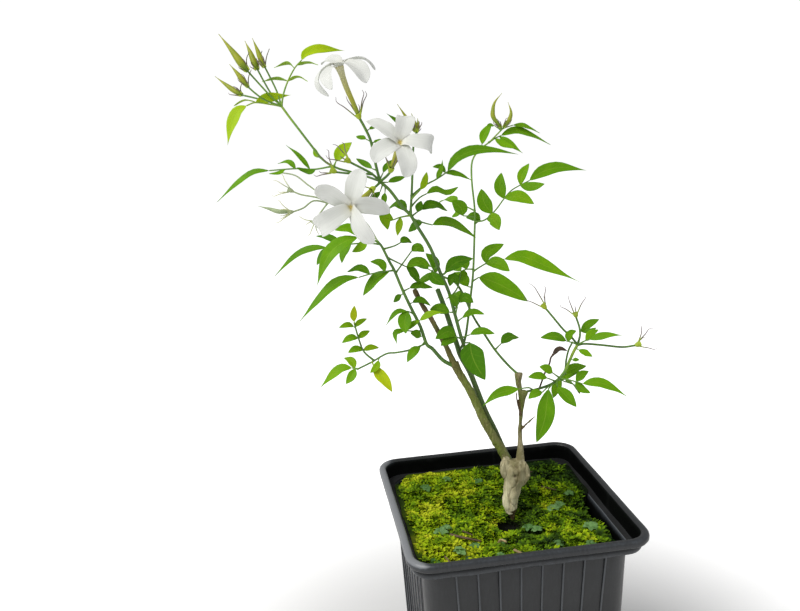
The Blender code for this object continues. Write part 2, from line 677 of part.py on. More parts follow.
    # leaves low on the flowering stem
    s.leaf([(-30.2, 107, 21.6), (-26.5, 112, 19), (-25, 119, 17)],
           [(5.0, 1, (-26, 114), (-29, 117), (-30.5, 112.5)),
            (4.6, -4, (-26, 115), (-23.8, 117.5), (-23.5, 121))])
    s.leaf([(-34.6, 118, 24.8), (-32.6, 119.4, 23)],
           [(7.0, -4, (-32.6, 119.4), (-27, 124.4), (-18.8, 126.4))])
    s.leaf([(-28.4, 99.6, 19.6), (-30.5, 99.6, 18.8)],
           [(5.4, -2.4, (-30.5, 99.6), (-35.5, 101.6), (-40.4, 101))], tilt=10)
    s.leaf([(-28.6, 100.5, 20), (-25.8, 104.5, 19.5)], [(5.2, 2, (-25.8, 104.5), (-23, 107), (-18.6, 104.4))])
    s.leaf([(-28, 98, 19.4), (-26.6, 102.4, 22)], [(4.8, 4, (-26.6, 102.4), (-28.6, 106), (-31.4, 108.6))])
    s.leaf([(-26.8, 95, 18.4), (-23.8, 97.2, 19)], [(3.8, 2, (-24.3, 96.9), (-19, 99.8), (-13, 98.6))])
    s.leaf([(-24.6, 87, 16.2), (-20.5, 88.5, 18)], [(4.2, 1, (-20.5, 88.5), (-15, 90.4), (-8, 89))])
    s.leaf([(-24.4, 86.4, 16), (-27.5, 87.6, 19)], [(6.2, 4, (-27.5, 87.6), (-31.5, 90), (-37.6, 86.4)),
                                                    (5.0, 4, (-26.5, 87.2), (-30.5, 86), (-35, 83))])
    s.leaf([(-23.6, 84.5, 15.4), (-20.4, 84.6, 19)],
           [(11.8, 5, (-20.4, 84.6), (-19.6, 79), (-17.4, 73.4), (-12.8, 66))], tilt=15)
    s.leaf([(-36.6, 122.6, 26.2), (-39.6, 119.8, 28)], [(5.8, 2, (-39.6, 119.8), (-38, 116.4), (-32.6, 113))])
    return s.fuse()


def make_upper_left_spray():
    """The long stem to the top left, with two leaves and five buds at its fork."""
    s = Sprig("upper_left_spray")
    s.stem([(-66.1, 165.3, 42.1), (-73, 167.5, 40), (-80, 169.5, 39), (-87, 171.5, 39), (-93.5, 175.5, 40),
            (-100, 183.5, 41), (-105, 190, 42), (-110, 196.5, 42), (-114, 202, 42)], 1.1, 1.2)
    s.leaf([(-114, 202, 42), (-113, 208, 42), (-111, 214, 41), (-107.5, 220.8, 39), (-104, 224.8, 38)],
           [(5.0, -5, (-104, 224.8), (-101.5, 228.4), (-94, 230.4), (-82.5, 229.5)),
            (2.6, -4, (-107.5, 220.8), (-111, 223.2), (-118, 221)),
            (2.6, 2, (-106, 222.2), (-100.6, 223.6), (-95.6, 222.4)),
            (2.6, -4, (-110.8, 214.6), (-117, 215.6), (-124, 214)),
            (2.6, 2, (-110.8, 214.4), (-105.6, 216.4), (-100.8, 214.2))])
    s.leaf([(-114, 202, 42), (-120, 203, 43), (-127, 203.8, 45), (-131.4, 202.2, 46)],
           [(6.6, 2, (-131.4, 202.2), (-136.2, 198.8), (-139.2, 191), (-140.8, 182.4)),
            (3.8, -4, (-127, 204), (-120.4, 205.8), (-109.2, 207.8)),
            (3.0, -1, (-126, 203.8), (-132, 204.8), (-137.8, 202.4))], tilt=25)
    for stalk, width, bud in (
        ([(-114, 202, 42), (-119.6, 207.2, 44), (-125, 213, 45)], 3.4,
         [(-130.6, 219.2, 46), (-137, 227.6, 46.6), (-145.2, 237.8, 47)]),
        ([(-114, 202, 42), (-119, 208, 41), (-122.6, 214, 40)], 2.8,
         [(-125.8, 220, 39.5), (-129, 227.4, 38.9), (-132.2, 234.4, 38)]),
        ([(-114, 202, 42), (-116, 208.5, 42), (-119, 215, 42)], 2.5,
         [(-122.2, 221.2, 43), (-125.2, 228.4, 43.4), (-128.5, 235.8, 44)]),
        ([(-114, 202, 42), (-122, 205, 47), (-126.5, 208, 48)], 2.5,
         [(-130.4, 211.4, 49), (-134.8, 217, 49.5), (-139.8, 222.8, 50)]),
        ([(-114, 202, 42), (-121, 204.4, 38), (-127, 206, 37)], 2.4,
         [(-133.4, 207.5, 36), (-139.6, 211.2, 35.2), (-147, 216.8, 34)]),
    ):
        base = bud[0]
        s.stem([*stalk, base], 0.9, 0.9)
        s.bud(bud, width)
        knee = (bud[1][0] + 2.6, bud[1][1] + 1.5, bud[1][2] + 1.5)
        tip = (bud[1][0] + 4.0, bud[1][1] + 5.5, bud[1][2] + 3.0)
        s.stem([base, knee, tip], 0.7, 0.5)
    # leaves beside the flowers, low on this stem
    s.leaf([(-88, 172, 39), (-87, 174.5, 41)], [(7.0, 3, (-87, 174.5), (-84.5, 179), (-79, 184))], tilt=15)
    s.leaf([(-93.5, 175.5, 40), (-95, 176.4, 37)], [(2.8, -4, (-95, 176.4), (-96.8, 178), (-97.8, 181.5))],
           stalk=0.8)
    # the long leaf that hangs out to the left
    s.leaf([(-88.5, 172.2, 39), (-98, 170.6, 36), (-106, 171, 34), (-114, 170.5, 33), (-120, 170, 32)],
           [(4.6, -1, (-120, 170), (-128, 169), (-136.4, 163.2), (-146.6, 153.8)),
            (5.4, 4, (-97, 170.8), (-101, 169), (-106.6, 171.4)),
            (3.0, -3, (-107, 171), (-110.5, 174.4), (-116, 173.4)),
            (2.8, -2, (-100, 170.7), (-105.6, 177.6), (-112, 182.8)),
            (2.8, 3, (-112, 170.6), (-115.6, 168.6), (-120.4, 168.4))], tilt=45)
    return s.fuse()


def make_left_stem():
    """The dark stem on the left with its leaves."""
    s = Sprig("left_stem")
    s.stem([(-31.2, 74.0, 17.4), (-34, 76, 18.4), (-39, 81.5, 20), (-42, 84, 21), (-45, 92.5, 23),
            (-50, 102.5, 26), (-54, 111, 28), (-58, 120.5, 31), (-60.5, 125, 32), (-64, 132, 34),
            (-66, 134.5, 35)], 1.9, 1.1)
    s.leaf([(-66, 134.5, 35), (-71, 136.5, 36), (-76, 137, 37)],
           [(8.0, 5, (-76, 137), (-84, 134), (-90, 129), (-94, 120.5), (-96.5, 112)),
            (4.6, -2, (-72, 136.6), (-74, 132.5), (-79, 129.5)),
            (4.8, 2, (-74.5, 137), (-80, 141.5), (-88, 140.5))])
    s.leaf([(-65, 133.4, 34.6), (-73, 134, 31), (-84, 133, 28), (-91, 131.6, 26)],
           [(5.4, -2, (-91, 131.6), (-98, 131.2), (-107, 127.5), (-118, 117)),
            (4.8, -4, (-85, 133), (-90, 136.5), (-97, 137.5)), (4.6, 3, (-88, 132.2), (-93, 128.6),
                                                                (-96.5, 123)),
            (4.6, 2, (-79, 133.6), (-83, 129), (-84, 124))], tilt=45)
    s.leaf([(-63.5, 131, 33.6), (-58, 132.6, 30), (-55, 134.2, 28)],
           [(4.8, -2, (-55, 134.2), (-52.4, 135.4), (-49.2, 134))])
    s.leaf([(-57.4, 119, 30.6), (-53, 125, 28), (-49.4, 130, 26)],
           [(4.8, 1, (-49.4, 130), (-46.4, 131.8), (-43, 129.6))])
    s.leaf([(-61.2, 127, 32.4), (-56.5, 124.4, 29), (-52, 122.2, 27)],
           [(5.6, -3, (-52, 122.2), (-48.5, 119), (-45.5, 114)),
            (5.6, 0, (-51, 122.4), (-45.5, 125), (-39.6, 122))])
    s.leaf([(-58, 120.5, 31), (-64, 119.6, 33), (-70, 118.6, 35), (-75.5, 117, 36)],
           [(6.2, 3, (-75.5, 117), (-84, 115.5), (-93, 108.5), (-105.5, 94.5)),
            (6.0, 3, (-60.4, 120), (-67, 116.4), (-73.5, 107.8)),
            (4.6, -2, (-70, 118.6), (-75, 121.6), (-81.5, 119.6)),
            (4.4, -2, (-62.4, 119.9), (-64.6, 124), (-70, 124.8))], tilt=40)
    s.leaf([(-53.2, 109, 27.6), (-54.4, 108.4, 26)], [(3.8, -2, (-54.4, 108.4), (-58.4, 104.6))], stalk=0.8)
    s.leaf([(-53.6, 110, 28), (-50.5, 111.6, 25.6)],
           [(4.8, -3, (-50.5, 111.6), (-46, 112.8), (-38.8, 111.8))])
    s.leaf([(-50.6, 103.8, 26.2), (-49, 104.4, 24)], [(4.0, -2, (-49, 104.4), (-45, 105.8), (-39.8, 102.8))],
           stalk=0.8)
    s.leaf([(-48, 98, 24.8), (-49.5, 99.4, 27), (-51.5, 100.2, 29)],
           [(7.0, 3, (-51, 100), (-52.8, 95.6), (-52.2, 89)), (3.0, 2, (-51.5, 100.2), (-57, 99.6),
                                                               (-62.4, 92.8))])
    s.leaf([(-43.4, 88, 22), (-44.6, 87.6, 24.4)], [(4.6, 2, (-44.6, 87.6), (-47, 88.8), (-50, 89.4))],
           stalk=0.8)
    s.leaf([(-44.2, 90.4, 22.6), (-48, 90.2, 25), (-52.6, 90.6, 27)],
           [(3.2, 2, (-52.6, 90.6), (-57.4, 89.4), (-56.6, 83.4))])
    s.leaf([(-46.2, 95, 23.8), (-45.4, 95.6, 27.5)], [(3.8, 2, (-45.4, 95.6), (-39.6, 99), (-32.6, 99.4)),
                                                      (3.4, 1, (-45.4, 95.4), (-49.6, 93.2),
                                                       (-53.6, 89.8))], stalk=0.9)
    s.leaf([(-42.4, 85.4, 21.2), (-45, 82.6, 24)], [(4.8, 3, (-45, 82.6), (-48.4, 80), (-51.6, 74.8))],
           stalk=0.9)
    return s.fuse()


def make_lower_left_spray():
    """The side shoot low on the left, with an upright young tip."""
    s = Sprig("lower_left_spray")
    s.stem([(-43.0, 83.2, 20.0), (-50, 81, 19), (-57, 79.6, 18), (-62, 79, 17.4), (-69, 75, 17),
            (-76, 71.5, 17)], 0.9, 0.9)
    s.stem([(-68, 75.6, 17), (-73, 80, 18), (-75.5, 86, 19), (-77.8, 94, 20)], 1.0, 0.8)
    s.leaf([(-77.8, 94, 20), (-77.9, 95, 20)], [(3.6, 2, (-77.9, 95), (-78.2, 98), (-77.8, 103))], tilt=5,
           stalk=0.8)
    s.leaf([(-77.4, 92, 19.8), (-78, 92.4, 20)], [(3.2, 3, (-78, 92.4), (-81, 93.4), (-85.5, 92)),
                                                  (3.0, -3, (-77.6, 92.4), (-75, 94.8), (-71.5, 96.5))],
           stalk=0.8)
    s.leaf([(-75.6, 86.4, 19), (-76, 86.8, 19)], [(4.0, 3, (-76, 86.8), (-79.5, 87), (-84, 84.4)),
                                                  (3.6, -3, (-75.8, 86.8), (-73, 89), (-70, 90.5))],
           stalk=0.8)
    s.leaf([(-73.2, 80.4, 18), (-73.6, 80.8, 18)], [(3.8, 3, (-73.6, 80.8), (-77, 81.4), (-81, 79.6)),
                                                    (3.4, -3, (-73.4, 80.8), (-69.5, 82.2), (-65.5, 82))],
           stalk=0.8)
    s.leaf([(-76, 71.5, 17), (-79, 72, 17)], [(5.4, 1, (-79, 72), (-84.5, 71.6), (-89.5, 67.5), (-95, 62)),
                                              (4.6, 3, (-77.5, 71.8), (-79, 68), (-82, 64)),
                                              (4.4, -4, (-77.5, 71.8), (-79.5, 75.6), (-83, 77))])
    s.leaf([(-69, 75, 17), (-68.4, 73.4, 18)], [(5.8, 4, (-68.4, 73.4), (-65.5, 69), (-62.5, 65.5),
                                                 (-59, 60))], tilt=20, stalk=0.9)
    s.leaf([(-65.5, 77, 17.2), (-65.8, 75.8, 18)], [(3.6, 3, (-65.8, 75.8), (-66.8, 72.6), (-70, 69.5))],
           stalk=0.8)
    return s.fuse()


def make_far_spray():
    """A thin spray of open empty calyces, behind the left flower."""
    s = Sprig("far_spray")
    s.stem([(-66.6, 135.6, 34.2), (-72, 144, 24), (-80, 151, 8), (-91, 154, -6)], 0.9, 1.0)
    s.stem([(-91, 154, -6), (-96, 156.5, -7), (-104, 158, -8), (-108, 159.5, -8)], 0.9, 0.9)
    s.calyx((-108, 159.5, -8), (-110.5, 160.5, -8), [(-118, 165, -6), (-119, 158, -9), (-115, 168.5, -12)],
            cup=2.4)
    s.stem([(-91, 154, -6), (-98, 155, -4), (-103, 151.5, -3), (-108, 149.6, -2)], 0.9, 0.9)
    s.calyx((-108, 149.6, -2), (-110.5, 149.2, -2), [(-116, 155, 0), (-117, 144.5, -2)], cup=2.4)
    s.bud([(-110, 149.2, -2), (-115, 149.6, -2), (-120, 151, -3), (-126, 152.5, -4)], 2.2)
    s.stem([(-91, 154, -6), (-94, 150, -5), (-97, 146, -4)], 0.9, 0.9)
    s.calyx((-97, 146, -4), (-98.4, 144, -4), [(-105.5, 147, -3), (-101, 137.5, -2), (-96, 138, -7)], cup=2.4)
    s.stem([(-91, 154, -6), (-93, 157, -8), (-101, 163, -10), (-107, 167.5, -11), (-114, 169, -11)], 0.9, 0.7)
    return s.fuse()


def make_back_stem():
    """The upright stem behind, with the large leaves on the right."""
    s = Sprig("back_stem")
    s.stem([(-24.9, 82.6, 10.0), (-23, 86, 8.5), (-21.5, 95, 6), (-20, 108, 4), (-18.8, 120, 1),
            (-18.2, 137, -2), (-18, 150, -4), (-19.5, 165, -6), (-19.2, 175, -7), (-15, 181, -8),
            (-11, 184, -9), (-4, 191, -10)], 1.4, 1.0)
    # top leaves and young shoots
    s.leaf([(-15, 181, -8), (-14.4, 183, -9)], [(4.4, -3, (-14.4, 183), (-13.4, 188), (-9.6, 193.5))],
           stalk=0.9)
    s.leaf([(-11, 184, -9), (-8, 186, -10), (-5, 187.4, -11)], [(5.4, -5, (-5, 187.4), (2, 189.8),
                                                                 (10, 187.6), (20, 182.6)),
                                                                (4.4, 3, (-8, 186), (-4, 183), (2, 181)),
                                                                (4.0, 3, (-6, 187), (-2, 184.2),
                                                                 (6, 178.5))])
    s.bud([(-4.6, 190.6, -10), (-8.5, 196, -10), (-9, 199.5, -10), (-8, 204, -10), (-4.5, 208.5, -10)], 2.2)
    s.bud([(-4, 191, -10), (-1, 195, -9), (0, 199, -9), (-1.5, 204, -9)], 2.0)
    s.leaf([(-5, 190, -10), (-8.5, 192.5, -8)], [(2.6, 2, (-8.5, 192.5), (-12, 192.5))], stalk=0.7)
    s.leaf([(-4, 191, -10), (1, 192.6, -12)], [(3.4, -3, (1, 192.6), (7, 192), (14.5, 188.5))], stalk=0.8)
    # the face-on leaf on the right
    s.leaf([(-18.2, 144.5, -3.6), (-13, 145.5, -1), (-8, 150, 0), (-3.5, 156, 0), (0, 160, -1),
            (4, 162.5, -2), (9, 165, -3)], [(6.6, -5, (9, 165), (16, 169.6), (25, 171.6), (38, 170)),
                                            (4.6, -2, (4.6, 162.8), (5.4, 168), (9, 173.6)),
                                            (5.2, 3, (4.6, 162.4), (10, 161.8), (16.8, 163.4)),
                                            (6.0, -3, (-3.6, 156), (-5.6, 162), (-4.8, 169)),
                                            (6.4, 3, (-3, 156), (4, 157), (11.5, 153.4)),
                                            (7.2, -3, (-9.5, 148.6), (-13.4, 154), (-14.8, 161)),
                                            (6.4, 4, (-12, 145.8), (-8.4, 145.8), (-5.8, 140.4))], tilt=15)
    s.leaf([(-18.1, 147, -3.6), (-24, 147.6, -2)], [(6.8, 2, (-24, 147.6), (-25, 151.5), (-29.4, 155.2))],
           tilt=15)
    s.leaf([(-18, 143.6, -3.4), (-15.2, 145.4, -5)],
           [(5.0, -3, (-15.2, 145.4), (-18.6, 147.2), (-22.4, 146.6))], tilt=15)
    # the long drip-tipped leaf under it
    s.leaf([(-18.8, 120, 1), (-13, 123.6, 2), (-8, 125.4, 2), (-3.5, 126, 2)],
           [(7.4, 2, (-3.5, 126), (6, 127.2), (18, 122.2), (36.4, 113.6)),
            (6.0, -3, (-12.5, 124), (-12, 129), (-3.5, 133.6)), (6.8, 4, (-12.6, 123.8), (-7, 124),
                                                                 (-0.6, 120))], tilt=30)
    s.leaf([(-19.4, 115, 2.2), (-16, 117, 5)], [(10.2, 3, (-16, 117), (-9.5, 115), (-0.5, 110.6),
                                                 (8.4, 105))], tilt=30)
    # leaves behind, on the far side of the plant
    s.leaf([(-18.8, 121, 0.8), (-22, 121, -6), (-25, 120, -13)],
           [(7.4, -12, (-25, 120), (-29, 121.6), (-33.5, 118)), (6.2, -6, (-22, 121), (-24, 124.6),
                                                                 (-28, 127))], tilt=55)
    s.leaf([(-19.6, 112, 2.9), (-21.4, 112.4, -1)],
           [(6.4, -4, (-21.4, 112.4), (-24.5, 116.5), (-28.6, 119.4))], tilt=30)
    s.leaf([(-18, 150, -4), (-22, 152, -11), (-27, 154, -17)], [(7.0, -14, (-27, 154), (-31, 156),
                                                                 (-36, 154)),
                                                                (5.6, -7, (-23, 152.4), (-26, 149),
                                                                 (-29.5, 147))], tilt=55)
    s.leaf([(-20.6, 103, 4.8), (-22, 105, -2), (-24, 106, -8)], [(7.0, -12, (-24, 106), (-28, 108),
                                                                  (-32.5, 106)),
                                                                 (5.8, -3, (-23, 105.6), (-27, 103),
                                                                  (-31, 101.4))], tilt=55)
    return s.fuse()


def make_right_cane():
    """The stem from the cut top of the right leg, leaning left behind the flowering stem."""
    s = Sprig("right_cane")
    s.stem([(1.2, 70.0, 12.8), (-2, 74, 12.6), (-8, 81, 13), (-14, 90, 13.4), (-19, 98, 13.4), (-24, 109, 13),
            (-28, 114.6, 12), (-33, 117, 10)], 1.2, 1.1)
    s.leaf([(-33, 117, 10), (-37, 119, 6), (-41, 121, 2)], [(6.0, -6, (-41, 121), (-46, 124), (-52, 122.6)),
                                                            (5.0, -2, (-37.5, 119.4), (-38, 124.6),
                                                             (-42.5, 129)),
                                                            (5.0, -1, (-37.5, 119.4), (-42, 116.4),
                                                             (-47, 113.5))], tilt=45)
    s.leaf([(-8, 81, 13), (-5, 84, 10)], [(5.4, -6, (-5, 84), (-1, 87.4), (4, 87))], tilt=40)
    return s.fuse()


def make_right_shoot():
    """The low shoot on the right with its rosette of leaves and three open calyces."""
    s = Sprig("right_shoot")
    s.stem([(9.2, 60.5, 11.3), (14, 61.8, 11), (20, 64, 10), (24, 67, 10), (27, 71, 10.4), (29, 75.5, 10.6),
            (31, 80, 11), (33, 83.5, 11)], 1.3, 1.7)
    s.stem([(27, 71, 10.4), (27.4, 76, 6.6), (28.6, 81, 6), (30.6, 85, 6)], 1.0, 0.9)
    s.stem([(33, 83.5, 11), (29.4, 88, 12), (26, 91, 12.6), (21, 97, 13), (17.4, 101.3, 13.4)], 1.1, 1.0)
    s.calyx((17.4, 101.3, 13.4), (15.8, 103.4, 13.6), [(9, 114, 16), (16.5, 112.5, 11), (6.5, 107.5, 12)])
    s.stem([(33, 83.5, 11), (34.2, 88, 9), (34, 92, 8), (32.4, 97, 7)], 1.1, 1.0)
    s.calyx((32.4, 97, 7), (31.8, 99.4, 7), [(28.6, 108, 9), (24.5, 103.5, 4), (36.5, 108, 5)])
    s.stem([(33, 83.5, 11), (37, 84, 12), (45, 83.4, 13), (55, 82.4, 14), (61.5, 83.2, 14)], 1.1, 1.0)
    s.calyx((61.5, 83.2, 14), (64, 84, 14), [(65.5, 93, 16), (70.5, 91.5, 12), (72.5, 82, 15)])
    # leaves of the node above
    s.leaf([(33.5, 85.5, 10.4), (34.6, 90.4, 5)], [(4.2, -4, (34.6, 90.4), (39, 94), (43.8, 96.2)),
                                                (2.8, 3, (34.6, 90), (38.6, 90.2), (42.6, 92))])
    s.leaf([(32.4, 83.8, 11), (27.5, 85.4, 14)],
           [(5.2, 3, (27.5, 85.4), (22, 87.6), (14.5, 87)), (4.0, 1, (29, 85), (29, 89), (32.5, 90.5))])
    s.leaf([(33, 83.5, 11), (36.5, 85.4, 15), (39, 86, 17)], [(4.0, 3, (39, 86), (44, 87.6), (49, 88.4),
                                                               (55.6, 88.2)),
                                                              (3.6, -2, (37.5, 85.6), (39.5, 89),
                                                               (43.5, 91))])
    s.leaf([(32, 82, 11), (33.5, 81, 14)], [(3.8, 2, (33.5, 81), (36.5, 79.6), (40.5, 77.6))], stalk=0.8)
    s.leaf([(29.4, 76.4, 10.6), (30.4, 76, 13)], [(2.4, 1, (30.4, 76), (34, 76))], stalk=0.7)
    # rosette
    s.leaf([(24, 67, 10), (30, 65.8, 13), (35.5, 64.2, 15)], [(5.6, 3, (35.5, 64.2), (43, 64.8), (51, 61.8),
                                                               (58, 57.5)),
                                                              (4.4, -3, (32.5, 65.2), (35, 68.6),
                                                               (38.6, 70.5)),
                                                              (4.2, 3, (32, 65.3), (35, 61.6),
                                                               (39.5, 59.5))])
    s.leaf([(25, 68.4, 10), (27.5, 69.4, 7)], [(5.4, -5, (27.5, 69.4), (31.5, 72), (37.5, 73))])
    s.leaf([(22.5, 65.8, 10), (23, 62.6, 14)], [(6.4, 5, (23, 62.6), (27, 58.4), (32.5, 52.6))])
    s.leaf([(24, 67.2, 10), (20.6, 69.6, 13)], [(4.8, 3, (20.6, 69.6), (18, 71.4), (14, 72.6))])
    s.leaf([(22, 65.6, 10), (18, 67, 14)], [(4.4, 2, (18, 67), (13.5, 68), (8.4, 67.4))])
    s.leaf([(20.6, 64.4, 10), (18.6, 61.6, 14)],
           [(9.0, 5, (18.6, 61.6), (17.6, 54), (16.5, 46), (12.6, 35))], tilt=10)
    s.leaf([(19.4, 63.6, 10), (15.6, 60, 15)], [(4.6, 2, (15.6, 60), (12, 59.2), (8.6, 56.6))])
    s.leaf([(11, 61, 11.2), (8.6, 62.2, 15.5), (4, 61.6, 18)],
           [(5.4, 2, (4, 61.6), (-2, 60.6), (-8, 58.4), (-14.5, 52.6))])
    s.leaf([(23, 66, 10), (25, 66, 3), (27, 65, -3)],
           [(6.4, -12, (27, 65), (31, 64), (34, 59)), (5.0, -3, (25.6, 65.6), (29, 69), (34, 70.5)),
            (5.0, -2, (25.6, 65.6), (22.6, 62), (21, 57))], tilt=55)
    return s.fuse()


def make_dead_shoot():
    """The dark dry twig beside the rosette, with one withered leaflet."""
    s = Sprig("dead_shoot", "dry twig")
    s.stem([(14.3, 63.2, 9.9), (17, 70, 7), (19, 74, 6), (20, 77.5, 6), (23, 80, 6)], 0.9, 0.9)
    s.leaf([(19.8, 77, 6), (20.6, 79, 5)], [(2.6, -1, (20.6, 79), (24, 81.6), (28, 80.5))], stalk=0.7)
    return s.fuse()


BLOOMS = (
    # name, tube points, petals as (width, widest at, route after the throat)
    (
        "bloom_top",
        [(-76.2, 198.6, 48.4), (-79, 205, 49.5), (-82, 212, 51), (-85.2, 221.5, 53)],
        [
            (9.6, 0.5, [(-82.6, 223.6, 55), (-78.4, 222.4, 58), (-74.6, 219.4, 60), (-71.8, 213.4, 60.6)]),
            (7.0, 0.45, [(-88, 223, 53), (-93.4, 219.4, 52.4), (-95.6, 213.6, 52), (-90.4, 206.8, 51)]),
            (8.4, 0.45, [(-87.4, 222, 56), (-90.6, 219.4, 60), (-91, 215.6, 63.4), (-88.8, 210.2, 65)]),
            (6.4, 0.5, [(-82.6, 224.4, 51.5), (-77.5, 225.4, 48), (-72, 224.8, 45), (-67.4, 219.8, 43.6)]),
            (8.0, 0.5, [(-86.8, 224.2, 51.5), (-89.5, 225, 47.5), (-92.2, 224.4, 43), (-94.2, 222.4, 41)]),
        ],
    ),
    (
        "bloom_middle",
        [(-59.1, 172, 51.4), (-58, 175, 52.5), (-56.5, 180, 54), (-55.2, 184.2, 58.5)],
        [
            (9.4, 0.55, [(-57.2, 186.4, 59.6), (-61.8, 190.2, 59.8), (-67, 193.4, 58.6),
                         (-71.8, 194.6, 56.6)]),
            (9.6, 0.62, [(-54.8, 187.4, 59.2), (-53.4, 191.8, 58.6), (-52.4, 195.6, 56.4),
                         (-52.6, 197, 52.4)]),
            (9.4, 0.7, [(-52.2, 185, 59.6), (-47, 184.6, 60.2), (-42.4, 184, 59.4), (-39.4, 182.8, 57.4)]),
            (9.8, 0.52, [(-54.2, 181.6, 60), (-52.4, 177, 62.2), (-51.2, 172, 63), (-52.8, 166.6, 62.2)]),
            (9.6, 0.5, [(-57.6, 183.4, 60), (-61.8, 181.6, 62.2), (-65.8, 178.8, 63), (-67.8, 173.8, 62.4)]),
        ],
    ),
    (
        "bloom_left",
        [(-69.9, 159.8, 47.2), (-73, 157, 49.5), (-76.5, 154.3, 52.5), (-79.8, 151.7, 58.5)],
        [
            (10.4, 0.56, [(-79.2, 154, 59.6), (-77.8, 160, 60.8), (-76.2, 166, 60.6), (-74.6, 170.9, 59)]),
            (10.6, 0.58, [(-82, 153.4, 59.6), (-86.6, 156.8, 60.8), (-92, 159.2, 60.4),
                          (-97.6, 158.2, 58.4)]),
            (11.0, 0.68, [(-82, 150.2, 59.8), (-87, 147.4, 61.4), (-91.6, 144.2, 61.8),
                          (-95.2, 141.6, 60.4)]),
            (10.8, 0.58, [(-78.2, 149.4, 60), (-75.8, 144.8, 61.8), (-72.8, 139.4, 62.4),
                          (-68.2, 133.6, 61)]),
            (9.2, 0.5, [(-77.6, 152.2, 59.8), (-72.4, 153, 60.8), (-66.2, 152.2, 60.4),
                        (-60.0, 149.2, 58.4)]),
        ],
    ),
)


def make_bloom(name, tube_points, petals):
    """An open flower: a slim tube that widens to the throat, and five petals round it."""
    s = Sprig(name, "petal")
    spots = [place(*p) for p in tube_points]
    line = spline(spots, 2)
    count = len(line) - 1
    widths = [1.9 + 0.9 * (k / count) ** 1.5 for k in range(count)] + [3.9]
    s.lines.append(line)
    tube(name, line, widths, s.pieces)
    axis = (line[-1] - line[-2]).normalized()
    centre = line[-1] - axis * 0.5 * MM
    for width, peak, points in petals:
        route = spline([centre, *[place(*p) for p in points]], 3)
        wide = width * shrink(points[-1][2]) * MM
        blade(name, route, wide, axis, s.pieces, peak=peak, point=0.62, fold=0.12, rows=3)
    return s.fuse()


clear_scene()
PARTS = bpy.data.collections.new("potted_jasmine")
bpy.context.scene.collection.children.link(PARTS)
make_pot()
make_soil()
make_moss()
make_trunk()
make_flowering_stem()
make_upper_left_spray()
make_left_stem()
make_lower_left_spray()
make_far_spray()
make_back_stem()
make_right_cane()
make_right_shoot()
make_dead_shoot()
for bloom in BLOOMS:
    make_bloom(*bloom)
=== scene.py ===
"""Looks of the young jasmine in its square black nursery pot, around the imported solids.

The plant is laid out as its solids are: a layout point is (right, up, near) in millimetres on an
upright sheet through the foot of the trunk, where near is how far it stands off the sheet towards
a viewer in front of the pot. Each stem, leaf, bud and petal repeats its solid's route and width
with a finer skin. Values kept on the points of a skin (along, across, tone, under) drive the
materials, so that veins, ribs and throats follow the form.
"""

import math
import random

import bpy
import numpy as np
from mathutils import Matrix, Vector, noise


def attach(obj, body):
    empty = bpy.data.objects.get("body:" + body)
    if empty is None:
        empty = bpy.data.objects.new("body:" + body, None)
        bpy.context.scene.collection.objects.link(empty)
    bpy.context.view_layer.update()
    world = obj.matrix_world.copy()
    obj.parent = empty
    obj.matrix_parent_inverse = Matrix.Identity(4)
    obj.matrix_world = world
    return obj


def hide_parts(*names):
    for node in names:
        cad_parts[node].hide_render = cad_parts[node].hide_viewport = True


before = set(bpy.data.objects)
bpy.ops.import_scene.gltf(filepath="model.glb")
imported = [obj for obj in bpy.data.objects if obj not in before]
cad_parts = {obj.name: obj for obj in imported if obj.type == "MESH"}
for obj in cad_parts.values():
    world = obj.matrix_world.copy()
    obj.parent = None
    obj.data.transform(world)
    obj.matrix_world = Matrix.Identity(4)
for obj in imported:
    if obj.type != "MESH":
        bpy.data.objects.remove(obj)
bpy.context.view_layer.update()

MM = 0.001

# Layout sheet, in millimetres
EYE = Vector((-96.7, -347.5, 307.5))
FOOT = Vector((4.85, 0.54, 109.0))
SHEET_RIGHT = Vector((0.98716, -0.15392, -0.04265))
SHEET_UP = Vector((0.07834, 0.23388, 0.96910))
SHEET_FAR = Vector((0.13919, 0.96000, -0.24294))
EYE_DISTANCE = 396.5
LENS = 35.93
SENSOR = 36.0

# Pot and its filling, in millimetres
WALL_TOP = 111.5
WALL_TOP_HALF = 48.0
BASE_HALF = 43.4
WALL = 1.6
FLOOR = 2.4
SOIL_TOP = 101.0
MOSS_UNDER = 101.3
MOSS_TOP = 107.8
BANK_RISE = 4.4
HOLLOW = (1.2, -6.5, 6.2, 6.4, 6.5)  # middle x and y, radii and depth, in front of the trunk
MOSS_HALF = 45.2
MOSS_OVER = 3.4  # how far the moss creeps over the ledge
LEDGE_IN = 45.6  # half width inside the ledge
LEDGE_TOP = 111.9
LEDGE_REST = 111.3
RIBS_A_FACE = 8
RIB_PITCH = 8.835
RIB_WIDTH = 0.9
RIB_DEPTH = 0.35
RIB_LENGTH = 108.0
RIB_MIDDLE = 56.0
RIB_LEAN = 0.0412  # radians, as the faces lean
RIB_SPREAD = 1.85  # radians of turn for each metre from the middle of a face
# scuffing tone on the ribs, part of their painted highlight
RIB_RUB_AND_SHEEN = 0.85

# Skins
LEAF_THICK = 0.34
PETAL_THICK = 0.36
CALYX_CUP = 2.6
CALYX_TONE = 0.62
BUD_TONE = 0.4
STEM_SWELL = 0.5
CAP_BULGE = 0.22
RIM_ANGLE = math.radians(55)
VALUES = ("along", "across", "tone", "under")


# Numbers and places

def bounded(value):
    """The value, kept from 0 to 1."""
    return min(1.0, max(0.0, value))


def smooth(value, low, high):
    """0 below low, 1 above high, and a soft step between."""
    share = bounded((value - low) / (high - low))
    return share * share * (3 - 2 * share)


def place(right, up, near):
    """A layout point, in metres in the part's own frame."""
    on_sheet = FOOT + SHEET_RIGHT * right + SHEET_UP * up
    return (on_sheet + (EYE - on_sheet) * (near / EYE_DISTANCE)) * MM


